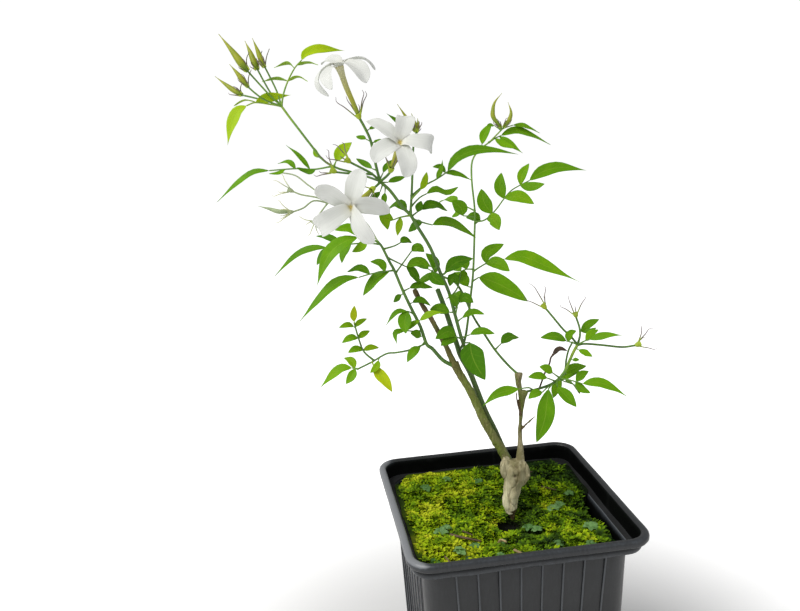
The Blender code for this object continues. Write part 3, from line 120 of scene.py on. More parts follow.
def shrink(near):
    """How much smaller a size read on the sheet really is, at this distance off it."""
    return 1.0 - near / EYE_DISTANCE


def spline(points, steps):
    """Points on a smooth curve through these ones, steps to a span."""
    ends = [points[0] * 2 - points[1], *points, points[-1] * 2 - points[-2]]
    found = []
    for i in range(1, len(ends) - 2):
        before, start, stop, after = ends[i - 1 : i + 3]
        for k in range(steps):
            t = k / steps
            swing = (before * 2 - start * 5 + stop * 4 - after) * t * t
            turn = (start * 3 - before - stop * 3 + after) * t * t * t
            found.append(0.5 * (start * 2 + (stop - before) * t + swing + turn))
    return found + [points[-1].copy()]


def along(points, share):
    """The point this share of the way along a polyline."""
    spans = [(b - a).length for a, b in zip(points, points[1:])]
    left = share * sum(spans)
    for a, b, span in zip(points, points[1:], spans):
        if left <= span:
            return a.lerp(b, left / max(span, 1e-9))
        left -= span
    return points[-1].copy()


def nearest(lines, point):
    """The nearest point to this one on any of the polylines."""
    best = None
    for line in lines:
        for a, b in zip(line, line[1:]):
            run = b - a
            t = max(0.0, min(1.0, (point - a).dot(run) / max(run.length_squared, 1e-12)))
            spot = a + run * t
            if best is None or (spot - point).length < (best - point).length:
                best = spot
    return best


def carried(line, side=None):
    """The run and side directions at each point of a line, carried along it without twisting."""
    last = len(line) - 1
    found = []
    for k in range(last + 1):
        run = (line[min(k + 1, last)] - line[max(k - 1, 0)]).normalized()
        side = side or run.orthogonal()
        side = (side - run * side.dot(run)).normalized()
        found.append((run, side))
    return found


# Skins

def linked(name, data):
    """A new object with this data, in the scene."""
    made = bpy.data.objects.new(name, data)
    bpy.context.scene.collection.objects.link(made)
    return made


def plain_mesh(name, points, faces):
    """A mesh of these points and faces."""
    made = bpy.data.meshes.new(name)
    made.from_pydata(points, [], faces)
    return made


def stored(mesh, **values):
    """The mesh with these values kept on its points, for its material to read."""
    for name, held in values.items():
        mesh.attributes.new(name, "FLOAT", "POINT").data.foreach_set("value", held)
    return mesh


def evaluated(made, name):
    """The plain mesh that an object's modifiers give, without the object."""
    bpy.context.view_layer.update()
    mesh = bpy.data.meshes.new_from_object(made.evaluated_get(bpy.context.evaluated_depsgraph_get()))
    made.modifiers.clear()
    bpy.data.objects.remove(made)
    mesh.name = name
    return mesh


def between_rings(count, size):
    """Faces between rings of points that follow one another: count rings of size points."""
    faces = []
    for low in range(0, (count - 1) * size, size):
        for k in range(size):
            j = (k + 1) % size
            faces.append((low + k, low + j, low + size + j, low + size + k))
    return faces


class Skin:
    """The faces of one finished piece, gathered shape by shape, with values for its material."""

    def __init__(self):
        self.points = []
        self.faces = []
        self.values = {name: [] for name in VALUES}

    def add(self, points, faces, **values):
        """Adds a shape. A value is one number for all its points, or a list with one for each."""
        low = len(self.points)
        self.points += points
        self.faces += [tuple(low + k for k in face) for face in faces]
        for name, held in self.values.items():
            given = values.get(name, 0.0)
            held += given if isinstance(given, list) else [given] * len(points)

    def mesh(self, name):
        made = stored(plain_mesh(name, self.points, self.faces), **self.values)
        made.shade_smooth()
        made.set_sharp_from_angle(angle=RIM_ANGLE)
        return made


def piece(name, shape, look_name, node):
    """Puts a skin or a finished mesh in the scene in place of its CAD node."""
    mesh = shape.mesh(name) if isinstance(shape, Skin) else shape
    mesh.materials.clear()
    mesh.materials.append(LOOKS[look_name])
    made = linked(name, mesh)
    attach(made, "root")
    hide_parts(node)


def tube(skin, line, widths, sides, tone, flutes=0, depth=0.0, twist=0.0):
    """A round closed tube through the points, with a diameter in mm and a tone for each."""
    last = len(line) - 1
    tones = tone if isinstance(tone, list) else [tone] * (last + 1)
    frames = carried(line)
    points = []
    values = []
    for k, (spot, (run, side), width, shade) in enumerate(zip(line, frames, widths, tones)):
        up = run.cross(side)
        share = k / last
        for i in range(sides):
            turn = 2 * math.pi * i / sides
            flute = math.cos(flutes * turn + twist * share)
            reach = 0.5 * width * MM * (1 + depth * flute)
            points.append(spot + (side * math.cos(turn) + up * math.sin(turn)) * reach)
            values.append((share, flute, shade))
    faces = between_rings(last + 1, sides)
    for k, end in ((0, 0.0), (last, 1.0)):
        points.append(line[k] + frames[k][0] * (CAP_BULGE * widths[k] * MM * (1 if k else -1)))
        values.append((end, 0.0, tones[k]))
        for i in range(sides):
            pair = (k * sides + i, k * sides + (i + 1) % sides)
            faces.append((*(pair if k else reversed(pair)), len(points) - 1))
    shares, across, tones = [list(held) for held in zip(*values)]
    skin.add(points, faces, along=shares, across=across, tone=tones)


def blade(skin, route, side, width, fold, tone, rows, wave, phase,
          cols=8, thick=LEAF_THICK, curl=0.0, roll=0.0):
    """A thin closed blade along the route: width(share) is its width in metres, fold lifts its
    edges, wave ripples them, curl turns the tip and roll turns the whole blade about its rib."""
    evens = [k / rows for k in range(rows + 1)]
    stops = [0.5 * even + 0.25 * (1 - math.cos(math.pi * even)) for even in evens]
    line = [along(route, s) for s in stops]
    points = [line[0]]
    values = [(0.0, 0.0, 0.0)]
    for s, here, (run, across) in list(zip(stops, line, carried(line, side)))[1:-1]:
        across = Matrix.Rotation(roll + curl * s * s, 3, run) @ across
        normal = across.cross(run)
        half = 0.5 * width(s)
        for under in (0, 1):
            for j in range(under, cols + 1 - under):
                t = math.sin(0.5 * math.pi * (2 * j / cols - 1))
                ripple = wave * math.sin(2 * math.pi * (2.3 * s + phase) + (1.7 if t > 0 else 0)) * t * t
                lift = half * (fold * abs(t) ** 1.3 + ripple)
                skinned = 0.5 * thick * MM * (1 - t * t) ** 0.4 * (-1 if under else 1)
                points.append(here + across * (t * half) + normal * (lift + skinned))
                values.append((s, t, float(under)))
    points.append(line[-1])
    values.append((1.0, 0.0, 0.0))

    def index(row, j, under):
        return 1 + row * 2 * cols + j + (cols if under and 0 < j < cols else 0)

    faces = []
    for under in (0, 1):
        for j in range(cols):
            ends = [(0, index(0, j + 1, under), index(0, j, under)),
                    (index(rows - 2, j, under), index(rows - 2, j + 1, under), len(points) - 1)]
            for row in range(rows - 2):
                ends.append((index(row, j, under), index(row, j + 1, under),
                             index(row + 1, j + 1, under), index(row + 1, j, under)))
            faces += [tuple(reversed(face)) for face in ends] if under else ends
    shares, across, unders = [list(held) for held in zip(*values)]
    skin.add(points, faces, tone=tone, along=shares, across=across, under=unders)


def leaf_share(share, peak, point):
    """Half the width of a leaflet at this share of its length, as a share of its widest."""
    if share < peak:
        return math.sin(0.5 * math.pi * share / peak) ** 0.8
    return max(0.0, math.cos(0.5 * math.pi * (share - peak) / (1 - peak))) ** point


def petal_share(share, peak, root=0.5):
    """The same for a petal: a narrow claw, widest past the middle, with a blunt tip."""
    if share < peak:
        return root + (1 - root) * math.sin(0.5 * math.pi * share / peak) ** 1.1
    return max(0.0, 1 - ((share - peak) / (1 - peak)) ** 2.6) ** 0.7


class Sprig:
    """One leafy stem: pieces are added to it one by one, each rooted in what is there."""

    def __init__(self, node, seed, tone=0.42):
        self.node = node
        self.chance = random.Random(seed)
        self.tone = tone
        self.stems = Skin()
        self.leaves = Skin()
        self.buds = Skin()
        self.lines = []

    def root(self, points):
        """The layout points in metres, the first moved onto the nearest stem already there."""
        spots = [place(*p) for p in points]
        if self.lines:
            spots[0] = nearest(self.lines, spots[0])
        return spots

    def stem(self, points, thick, thin, tone=0.48):
        """A stem that tapers from thick to thin, both in mm, with a swollen foot. Its tone may be
        one number or (at its foot, at its top)."""
        spots = self.root(points)
        line = spline(spots, 4 if len(spots) > 2 else 6)
        last = len(line) - 1
        swell = STEM_SWELL if self.lines else 0.0
        if self.lines:
            line[0] = line[0] - (line[1] - line[0]).normalized() * 0.2 * MM
        self.lines.append(line)
        gone = 0.0
        widths = []
        for k, spot in enumerate(line):
            gone += (spot - line[max(k - 1, 0)]).length / MM
            swollen = 1 + swell * math.exp(-((gone / 1.3) ** 2))
            widths.append((thick + (thin - thick) * (k / last)) * swollen)
        if isinstance(tone, tuple):
            tone = [tone[0] + (tone[1] - tone[0]) * k / last for k in range(last + 1)]
        tube(self.stems, line, widths, sides=10 if thick > 1.3 else 7, tone=tone)
        return line

    def leaf(self, points, blades, tilt=35.0, stalk=1.0, tone=None):
        """A compound leaf: its stalk through the points, and blades as (width, lift, spot, ...).
        A width may be (width, roll, curl) or (width, roll, curl, point): turned about its rib,
        turned further at its tip, and drawn out to a finer point."""
        tone = self.tone if tone is None else tone
        line = self.stem(points, 0.85 * stalk, 0.6 * stalk, tone=0.3 + 0.6 * tone)
        for width, lift, *spots in blades:
            turns = width if isinstance(width, tuple) else (width, 0.0, 0.0)
            self.leaflet(line, points, turns, lift, spots, tilt, tone)

    def simple(self, points, width, lift, *spots, **manner):
        """A leaf with one blade, which goes on from the end of its stalk through the spots."""
        self.leaf(points, [(width, lift, points[-1][:2], *spots)], **manner)

    def leaflet(self, line, stalk_points, turns, lift, spots, tilt, tone):
        """One leaflet from its stalk. A spot is (right, up); its tip stands lift nearer."""
        width, roll, curl, *drip = turns
        start = min(stalk_points, key=lambda p: math.dist(p[:2], spots[0]))
        base = start[2]
        steps = len(spots) - 1
        route = [place(r, u, base + lift * k / steps) for k, (r, u) in enumerate(spots)]
        route[0] = nearest([line], route[0])
        route = spline(route, 5) if steps > 1 else route
        angle = math.radians(tilt)
        facing = SHEET_FAR * -math.cos(angle) + Vector((0, 0, 1)) * math.sin(angle)
        long_tip = width < 0.3 * sum(math.dist(a, b) for a, b in zip(spots, spots[1:]))
        peak, point = (0.34, 1.6) if long_tip else (0.42, 0.85)
        point = drip[0] if drip else point
        peak = 0.3 if width > 10 else peak
        wide = width * shrink(base) * MM
        chance = self.chance
        blade(
            self.leaves,
            route,
            (route[1] - route[0]).cross(facing),
            lambda s: wide * leaf_share(s, peak, point),
            fold=0.2 + chance.uniform(-0.04, 0.08),
            tone=bounded(tone + chance.uniform(-0.07, 0.07)),
            rows=14 if long_tip or width > 6 else 11,
            wave=chance.uniform(0.02, 0.10),
            phase=chance.random(),
            curl=curl + chance.uniform(-0.3, 0.3),
            roll=roll + chance.uniform(-0.1, 0.1),
        )

    def bud(self, points, width):
        """A slim pointed flower bud with the thin lobes of its calyx."""
        line = spline(self.root(points), 5)
        last = len(line) - 1
        widths = []
        tones = []
        for k in range(last + 1):
            s = k / last
            belly = math.sin(math.pi * s**0.85) ** 1.1 * (1 - 0.42 * s)
            widths.append(width * max(0.1, 0.36 * (1 - s) + belly))
            tones.append(BUD_TONE * min(1.0, 0.2 + 2.4 * k / last) + 0.12 * max(0.0, s - 0.6))
        tube(self.buds, line, widths, sides=14, tone=tones, flutes=5, depth=0.05, twist=2.2)
        self.lobes(line[1], (line[4] - line[0]).normalized(), 0.36 * width, [], 4)

    def lobes(self, rim, run, reach, tips, more):
        """Thin awl-shaped lobes round a rim: some to given tips, the rest where they fall."""
        side = run.orthogonal().normalized()
        chance = self.chance
        ends = [place(*tip) for tip in tips]
        for k in range(more):
            turn = 2 * math.pi * (k + chance.uniform(-0.2, 0.2)) / more
            out = side * math.cos(turn) + run.cross(side) * math.sin(turn)
            ends.append(rim + (run * chance.uniform(2.6, 5.5) + out * chance.uniform(1.2, 2.6)) * MM)
        for end in ends:
            out = end - rim
            out = (out - run * out.dot(run)).normalized()
            first = rim + out * (reach * MM) - run * 0.5 * MM
            length = (end - first).length
            knee = first.lerp(end, 0.4) + out * 0.09 * length + run * 0.09 * length
            hook = first.lerp(end, 0.8) + out * 0.12 * length
            line = spline([first, knee, hook, end], 4)
            count = len(line) - 1
            tube(self.buds, line, [0.62 * (1 - 0.72 * k / count) for k in range(count + 1)], sides=6,
                 tone=[0.62 + 0.38 * min(1.0, 2.2 * k / count) for k in range(count + 1)])

    def calyx(self, start, top, tips, cup=CALYX_CUP):
        """An open calyx: a small ribbed bell from start to top, hollow above, with thin lobes."""
        axis = [nearest(self.lines, place(*start)), place(*top)]
        run = (axis[1] - axis[0]).normalized()
        length = (axis[1] - axis[0]).length
        shares = (0.0, 0.25, 0.5, 0.8, 1.0, 1.12, 1.16, 1.08, 0.8, 0.55)
        widths = (0.42, 0.72, 0.92, 1.0, 0.97, 1.0, 0.86, 0.76, 0.62, 0.2)
        side = run.orthogonal().normalized()
        up = run.cross(side)
        sides = 15
        points = []
        for share, width in zip(shares, widths):
            for i in range(sides):
                turn = 2 * math.pi * i / sides
                reach = 0.5 * cup * width * MM * (1 + 0.07 * math.cos(5 * turn))
                out = side * math.cos(turn) + up * math.sin(turn)
                points.append(axis[0] + run * (length * share) + out * reach)
        faces = between_rings(len(shares), sides)
        faces.append(tuple(reversed(range(sides))))
        faces.append(tuple((len(shares) - 1) * sides + i for i in range(sides)))
        # painted shade: the rows that turn in and go down the cup are darker
        tones = [CALYX_TONE if k < 7 * sides else CALYX_TONE * 0.5 for k in range(len(points))]
        self.buds.add(points, faces, tone=tones, along=0.2)
        self.lobes(axis[1], run, 0.46 * cup, tips, 1)

    def finish(self, stem_look="stem", bud_look="bud"):
        """Turns what was gathered into the pieces that stand for this node."""
        piece(self.node + "_stems", self.stems, stem_look, self.node)
        if self.leaves.faces:
            piece(self.node + "_leaves", self.leaves, "leaf", self.node)
        if self.buds.faces:
            piece(self.node + "_buds", self.buds, bud_look, self.node)


# Node trees

def add_node(tree, kind, inputs=None, **settings):
    """Adds a node. Inputs are by name or number: a plain value, or another node's output."""
    made = tree.nodes.new(kind)
    for name, value in settings.items():
        setattr(made, name, value)
    for name, value in (inputs or {}).items():
        if isinstance(value, bpy.types.NodeSocket):
            tree.links.new(value, made.inputs[name])
        else:
            made.inputs[name].default_value = value
    return made


def group_tree(name, kind, inputs, outputs, result="NodeSocketFloat"):
    """A node group with named outputs and inputs {name: number}, where None stands for a shape."""
    tree = bpy.data.node_groups.new(name, kind)
    for label, value in inputs.items():
        socket = "NodeSocketGeometry" if value is None else "NodeSocketFloat"
        made = tree.interface.new_socket(label, in_out="INPUT", socket_type=socket)
        if value is not None:
            made.default_value = value
    for label in outputs:
        tree.interface.new_socket(label, in_out="OUTPUT", socket_type=result)
    return tree, tree.nodes.new("NodeGroupInput").outputs, tree.nodes.new("NodeGroupOutput").inputs


def maths(tree, operation, a, b=None, clamp=False):
    """One step of arithmetic."""
    inputs = {0: a} if b is None else {0: a, 1: b}
    return add_node(tree, "ShaderNodeMath", inputs, operation=operation, use_clamp=clamp).outputs[0]


def times(tree, a, b, clamp=False):
    return maths(tree, "MULTIPLY", a, b, clamp)


def plus(tree, a, b, clamp=False):
    return maths(tree, "ADD", a, b, clamp)


def minus(tree, a, b):
    return maths(tree, "SUBTRACT", a, b)


def vector(tree, x=0.0, y=0.0, z=0.0):
    return add_node(tree, "ShaderNodeCombineXYZ", {"X": x, "Y": y, "Z": z}).outputs[0]


def value_of(tree, name):
    """The value of this name kept on the points of a skin."""
    return add_node(tree, "ShaderNodeAttribute", attribute_name=name).outputs["Fac"]


def between(tree, value, low, high, to_low=0.0, to_high=1.0):
    """A smooth step of a value from low to high, as to_low to to_high."""
    inputs = {"Value": value, "From Min": low, "From Max": high, "To Min": to_low, "To Max": to_high}
    return add_node(tree, "ShaderNodeMapRange", inputs, interpolation_type="SMOOTHSTEP").outputs["Result"]


def blend(tree, share, a, b, kind="MIX"):
    """A mix of two colours."""
    made = add_node(tree, "ShaderNodeMix", data_type="RGBA", blend_type=kind)
    for index, value in ((0, share), (6, a), (7, b)):
        if isinstance(value, bpy.types.NodeSocket):
            tree.links.new(value, made.inputs[index])
        elif index:
            made.inputs[index].default_value = (*value, 1.0)
        else:
            made.inputs[index].default_value = value
    return made.outputs[2]


def ramp(tree, value, stops):
    """A colour ramp through (place, colour) stops."""
    made = add_node(tree, "ShaderNodeValToRGB", {"Fac": value})
    line = made.color_ramp.elements
    line[0].position, line[0].color = stops[0][0], (*stops[0][1], 1.0)
    line[1].position, line[1].color = stops[-1][0], (*stops[-1][1], 1.0)
    for spot, colour in stops[1:-1]:
        line.new(spot).color = (*colour, 1.0)
    return made.outputs["Color"]


def make_mottle():
    """Shared effect: soft patches over a surface, as a mask, with a finer grain for relief."""
    inputs = {"Scale": 200.0, "Stretch": 1.0, "Low": 0.4, "High": 0.6}
    tree, given, out = group_tree("mottle", "ShaderNodeTree", inputs, ("Mask", "Grain"))
    where = add_node(tree, "ShaderNodeTexCoord").outputs["Object"]
    squeeze = vector(tree, 1.0, 1.0, given["Stretch"])
    spot = add_node(tree, "ShaderNodeVectorMath", {0: where, 1: squeeze}, operation="MULTIPLY").outputs[0]
    patch = add_node(tree, "ShaderNodeTexNoise", {
        "Vector": spot, "Scale": given["Scale"], "Detail": 4.0, "Roughness": 0.55})
    fine = add_node(tree, "ShaderNodeTexNoise", {
        "Vector": spot, "Scale": times(tree, given["Scale"], 5.0), "Detail": 3.0, "Roughness": 0.6})
    tree.links.new(between(tree, patch.outputs["Fac"], given["Low"], given["High"]), out["Mask"])
    tree.links.new(fine.outputs["Fac"], out["Grain"])
    return tree


def make_veins():
    """Shared effect: a rib and paired side veins from a blade's own along and across values."""
    inputs = {"Pairs": 7.0, "Slant": 1.3, "Rib": 0.07, "Line": 0.1}
    tree, given, out = group_tree("veins", "ShaderNodeTree", inputs, ("Rib", "Side"))
    across = maths(tree, "ABSOLUTE", value_of(tree, "across"))
    tree.links.new(between(tree, across, times(tree, given["Rib"], 0.25), given["Rib"], 1.0, 0.0), out["Rib"])
    bent = times(tree, maths(tree, "POWER", across, 0.8), given["Slant"])
    phase = minus(tree, times(tree, value_of(tree, "along"), given["Pairs"]), bent)
    away = maths(tree, "ABSOLUTE", minus(tree, maths(tree, "FRACT", phase), 0.5))
    line = between(tree, away, 0.0, given["Line"], 1.0, 0.0)
    tree.links.new(times(tree, line, between(tree, across, 0.6, 0.95, 1.0, 0.0)), out["Side"])
    return tree


def look(name, **fixed):
    """A material and its nodes; values that are the same all over are set on the shader."""
    made = bpy.data.materials.new(name)
    made.use_nodes = True
    for label, value in fixed.items():
        made.node_tree.nodes["Principled BSDF"].inputs[label.replace("_", " ")].default_value = value
    return made, made.node_tree


def placed(tree, shared, **inputs):
    """A shared group in this material, with its own values."""
    made = add_node(tree, "ShaderNodeGroup", node_tree=SHARED[shared])
    for name, value in inputs.items():
        made.inputs[name].default_value = value
    return made


def varied(tree, patch, amount):
    """The tone with the patches of a mottle in it."""
    patchy = times(tree, minus(tree, patch.outputs["Mask"], 0.5), amount)
    return plus(tree, value_of(tree, "tone"), patchy, True)


def grained(tree, patch, amount, least):
    """Roughness that follows a mottle's grain."""
    return plus(tree, times(tree, patch.outputs["Grain"], amount), least)


def dressed(made, colour, rough, height=None, strength=0.0, distance=0.0):
    """The material with this colour and roughness, and the relief of this height."""
    tree = made.node_tree
    inputs = tree.nodes["Principled BSDF"].inputs
    tree.links.new(colour, inputs["Base Color"])
    tree.links.new(rough, inputs["Roughness"])
    if height is not None:
        bump = add_node(tree, "ShaderNodeBump", {
            "Height": height, "Strength": strength, "Distance": distance})
        tree.links.new(bump.outputs["Normal"], inputs["Normal"])
    return made


def leaf_look():
    """Soft satin leaf: green by tone, with a paler rib, veins and underside."""
    made, tree = look("jasmine leaf", Specular_IOR_Level=0.1)
    patch = placed(tree, "mottle", Scale=190.0, Low=0.3, High=0.7)
    veins = placed(tree, "veins", Pairs=6.0, Slant=1.4, Rib=0.07, Line=0.12)
    rib, side = veins.outputs["Rib"], veins.outputs["Side"]
    green = ramp(tree, varied(tree, patch, 0.06), LEAF_GREENS)
    lighter = blend(tree, 0.5, green, (0.34, 0.50, 0.05))
    body = blend(tree, times(tree, side, 0.16), green, lighter)
    body = blend(tree, times(tree, rib, 0.6), body, lighter)
    pale = blend(tree, 0.40, body, (0.27, 0.42, 0.09))
    body = blend(tree, value_of(tree, "under"), body, pale)
    groove = plus(tree, rib, times(tree, side, 0.5))
    height = minus(tree, times(tree, patch.outputs["Grain"], 0.12), groove)
    return dressed(made, body, grained(tree, patch, 0.2, 0.36), height, 0.4, 0.0002)


def toned_look(name, tones, variation, scale, least=0.38, bump=0.3):
    """A look that takes its colour from the tone alone, with a fine long grain."""
    made, tree = look(name)
    patch = placed(tree, "mottle", Scale=scale, Stretch=0.35, Low=0.33, High=0.7)
    colour = ramp(tree, varied(tree, patch, variation), tones)
    return dressed(made, colour, grained(tree, patch, 0.25, least), patch.outputs["Grain"], bump, 0.00018)


def petal_look(name, glow):
    """White petals, cream towards the claw and yellow in the throat, with faint long veins."""
    made, tree = look(name, Specular_IOR_Level=0.2, Subsurface_Weight=glow, Subsurface_Radius=(1, 1, 1),
                      Subsurface_Scale=0.0008)
    run = value_of(tree, "along")
    spread = vector(tree, times(tree, value_of(tree, "across"), 7.0), times(tree, run, 1.2))
    lines = add_node(tree, "ShaderNodeTexNoise", {
        "Vector": spread, "Scale": 1.4, "Detail": 3.0}).outputs["Fac"]
    # tone greys the petals a little: painted shade, given to the nodding flower
    colour = blend(tree, value_of(tree, "tone"), ramp(tree, run, PETAL_TONES), (0.80, 0.81, 0.79), "MULTIPLY")
    colour = blend(tree, times(tree, between(tree, lines, 0.45, 0.7), 0.5), colour, (0.58, 0.60, 0.55))
    # the underside is greyed: painted shade
    colour = blend(tree, times(tree, value_of(tree, "under"), 0.5), colour, (0.60, 0.61, 0.57))
    patch = placed(tree, "mottle", Scale=500.0, Low=0.3, High=0.7)
    return dressed(made, colour, grained(tree, patch, 0.2, 0.45), lines, 0.15, 0.0001)


def bark_look():
    """Bark: pale tan stump, brown canes and green cane by tone, with fissures and pale pores."""
    made, tree = look("bark", Specular_IOR_Level=0.25)
    streaks = placed(tree, "mottle", Scale=330.0, Stretch=0.2, Low=0.38, High=0.64)
    blotch = placed(tree, "mottle", Scale=120.0, Stretch=0.6, Low=0.42, High=0.66)
    colour = ramp(tree, varied(tree, blotch, 0.14), BARK_TONES)
    darker = blend(tree, 1.0, colour, (0.50, 0.42, 0.30), "MULTIPLY")
    colour = blend(tree, times(tree, streaks.outputs["Mask"], 0.4), colour, darker)
    where = add_node(tree, "ShaderNodeTexCoord").outputs["Object"]
    cells = add_node(tree, "ShaderNodeTexVoronoi", {"Vector": where, "Scale": 620.0, "Randomness": 1.0})
    dots = between(tree, cells.outputs["Distance"], 0.10, 0.24, 1.0, 0.0)
    some = times(tree, dots, between(tree, cells.outputs["Color"], 0.55, 0.7))
    colour = blend(tree, times(tree, some, 0.5), colour, (0.62, 0.52, 0.36))
    # under darkens the fissures and knot holes: painted shade
    colour = blend(tree, value_of(tree, "under"), colour, (0.07, 0.045, 0.02))
    height = minus(tree, streaks.outputs["Grain"], times(tree, streaks.outputs["Mask"], 0.6))
    return dressed(made, colour, grained(tree, streaks, 0.3, 0.55), height, 0.8, 0.0005)


def plastic_look(name, gloss, clean=(0.019, 0.0195, 0.0205), dusty=(0.029, 0.030, 0.031)):
    """Black moulded plastic: greyed and scuffed by tone, a painted sheen where tone is high, dull and dark by
    under (grime and painted shade), with drag marks.
    """
    made, tree = look(name, Specular_IOR_Level=gloss)
    cloud = placed(tree, "mottle", Scale=45.0, Low=0.35, High=0.7)
    smear = placed(tree, "mottle", Scale=160.0, Stretch=0.25, Low=0.5, High=0.75)
    colour = blend(tree, times(tree, cloud.outputs["Mask"], 0.5), clean, dusty)
    colour = blend(tree, times(tree, smear.outputs["Mask"], 0.3), colour, (0.045, 0.047, 0.05))
    scuff = times(tree, value_of(tree, "tone"), plus(tree, smear.outputs["Grain"], -0.12), True)
    colour = blend(tree, scuff, colour, (0.075, 0.088, 0.105))
    # painted sheen: tone past 0.9 greys the plastic towards a light reflection
    colour = blend(tree, between(tree, value_of(tree, "tone"), 0.9, 2.2), colour, (0.22, 0.23, 0.245))
    # under darkens it: grime, and painted shade under the rim's band, in its groove and inside
    grime_and_shade = times(tree, value_of(tree, "under"), plus(tree, cloud.outputs["Mask"], 0.6), True)
    colour = blend(tree, grime_and_shade, colour, (0.0015, 0.0018, 0.0016))
    rough = plus(tree, plus(tree, times(tree, cloud.outputs["Grain"], 0.22), times(tree, grime_and_shade, 0.5)), 0.22)
    height = plus(tree, cloud.outputs["Grain"], smear.outputs["Grain"])
    return dressed(made, colour, rough, height, 0.15, 0.0005)


def moss_look():
    """Moss: dark at the foot of each shoot, yellow green at its tip, with olive and dull patches."""
    made, tree = look("moss", Specular_IOR_Level=0.12)
    patch = placed(tree, "mottle", Scale=75.0, Low=0.42, High=0.6)
    tip = ramp(tree, varied(tree, patch, 0.3), MOSS_TONES)
    foot = blend(tree, 1.0, tip, (0.12, 0.14, 0.06), "MULTIPLY")
    colour = blend(tree, between(tree, value_of(tree, "along"), 0.05, 0.8), foot, tip)
    # under darkens what lies low and the edge by the wall: painted shade
    colour = blend(tree, value_of(tree, "under"), colour, (0.003, 0.004, 0.001))
    return dressed(made, colour, grained(tree, patch, 0.2, 0.6))


def liverwort_look():
    """Flat lobes among the moss: grey green to blue green, waxy, wet."""
    made, tree = look("liverwort", Specular_IOR_Level=0.4)
    patch = placed(tree, "mottle", Scale=380.0, Low=0.35, High=0.65)
    colour = ramp(tree, varied(tree, patch, 0.35), LOBE_TONES)
    return dressed(made, colour, grained(tree, patch, 0.25, 0.28), patch.outputs["Grain"], 0.6, 0.0004)


def peat_look():
    """Damp dark peat with lighter fibres."""
    made, tree = look("peat")
    patch = placed(tree, "mottle", Scale=260.0, Low=0.4, High=0.7)
    colour = blend(tree, patch.outputs["Mask"], (0.008, 0.006, 0.004), (0.045, 0.028, 0.015))
    return dressed(made, colour, grained(tree, patch, 0.3, 0.65), patch.outputs["Grain"], 1.0, 0.001)


LEAF_GREENS = [(0.0, (0.018, 0.070, 0.006)), (0.35, (0.070, 0.215, 0.004)), (0.55, (0.155, 0.365, 0.004)),
    (0.78, (0.34, 0.50, 0.006)), (1.0, (0.58, 0.60, 0.010))]
STEM_GREENS = [(0.0, (0.10, 0.055, 0.022)), (0.2, (0.085, 0.085, 0.02)), (0.4, (0.068, 0.165, 0.024)),
    (0.65, (0.15, 0.32, 0.03)), (1.0, (0.40, 0.50, 0.03))]
PALE_GREENS = [(0.0, (0.16, 0.24, 0.10)), (0.5, (0.36, 0.44, 0.24)), (1.0, (0.62, 0.62, 0.34))]
BUD_TONES = [(0.0, (0.07, 0.17, 0.005)), (0.3, (0.20, 0.28, 0.006)), (0.5, (0.36, 0.36, 0.012)),
    (0.62, (0.40, 0.55, 0.02)), (0.8, (0.15, 0.13, 0.06)), (1.0, (0.16, 0.11, 0.12))]
TUBE_TONES = [(0.0, (0.24, 0.32, 0.012)), (0.35, (0.42, 0.42, 0.04)), (0.65, (0.54, 0.52, 0.20)),
    (0.85, (0.66, 0.64, 0.40)), (1.0, (0.68, 0.52, 0.08))]
PETAL_TONES = [(0.0, (0.64, 0.48, 0.05)), (0.035, (0.68, 0.62, 0.30)), (0.09, (0.69, 0.69, 0.62)),
    (0.3, (0.69, 0.70, 0.665)), (1.0, (0.70, 0.71, 0.685))]
BARK_TONES = [(0.0, (0.085, 0.045, 0.022)), (0.3, (0.17, 0.13, 0.055)), (0.5, (0.19, 0.245, 0.045)),
    (0.7, (0.27, 0.24, 0.12)), (1.0, (0.95, 0.88, 0.60))]
TWIG_TONES = [(0.0, (0.045, 0.028, 0.018)), (0.4, (0.13, 0.075, 0.04)), (1.0, (0.48, 0.36, 0.17))]
MOSS_TONES = [(0.0, (0.012, 0.035, 0.003)), (0.3, (0.06, 0.13, 0.003)), (0.55, (0.16, 0.30, 0.003)),
    (0.8, (0.37, 0.52, 0.004)), (1.0, (0.56, 0.62, 0.02))]
LOBE_TONES = [(0.0, (0.015, 0.055, 0.006)), (0.5, (0.06, 0.17, 0.025)), (1.0, (0.17, 0.33, 0.10))]

SHARED = {"mottle": make_mottle(), "veins": make_veins()}
LOOKS = {
    "leaf": leaf_look(),
    "petal": petal_look("white petal", 0.5),
    "nodding": petal_look("white petal seen from below", 0.08),
    "bark": bark_look(),
    "plastic": plastic_look("black plastic", 0.42),
    # the ribs: the same plastic in lighter colours, a painted highlight along them
    "rib": plastic_look("rubbed plastic", 0.42, (0.065, 0.068, 0.072), (0.10, 0.104, 0.11)),
    # the inside: the same plastic in darker colours with little gloss, painted shade
    "inside": plastic_look("dull black plastic", 0.04, (0.004, 0.0045, 0.0045), (0.008, 0.009, 0.009)),
    "moss": moss_look(),
    "liverwort": liverwort_look(),
    "peat": peat_look(),
    "stem": toned_look("green stem", STEM_GREENS, 0.14, 260.0),
    "bud": toned_look("bud and calyx", BUD_TONES, 0.10, 420.0, bump=0.1),
    "pale": toned_look("pale stem and calyx", PALE_GREENS, 0.2, 300.0),
    "tube": toned_look("flower tube", TUBE_TONES, 0.08, 300.0, least=0.42, bump=0.06),
    "twig": toned_look("dry twig", TWIG_TONES, 0.2, 400.0, least=0.6, bump=0.5),
}


# Trunk

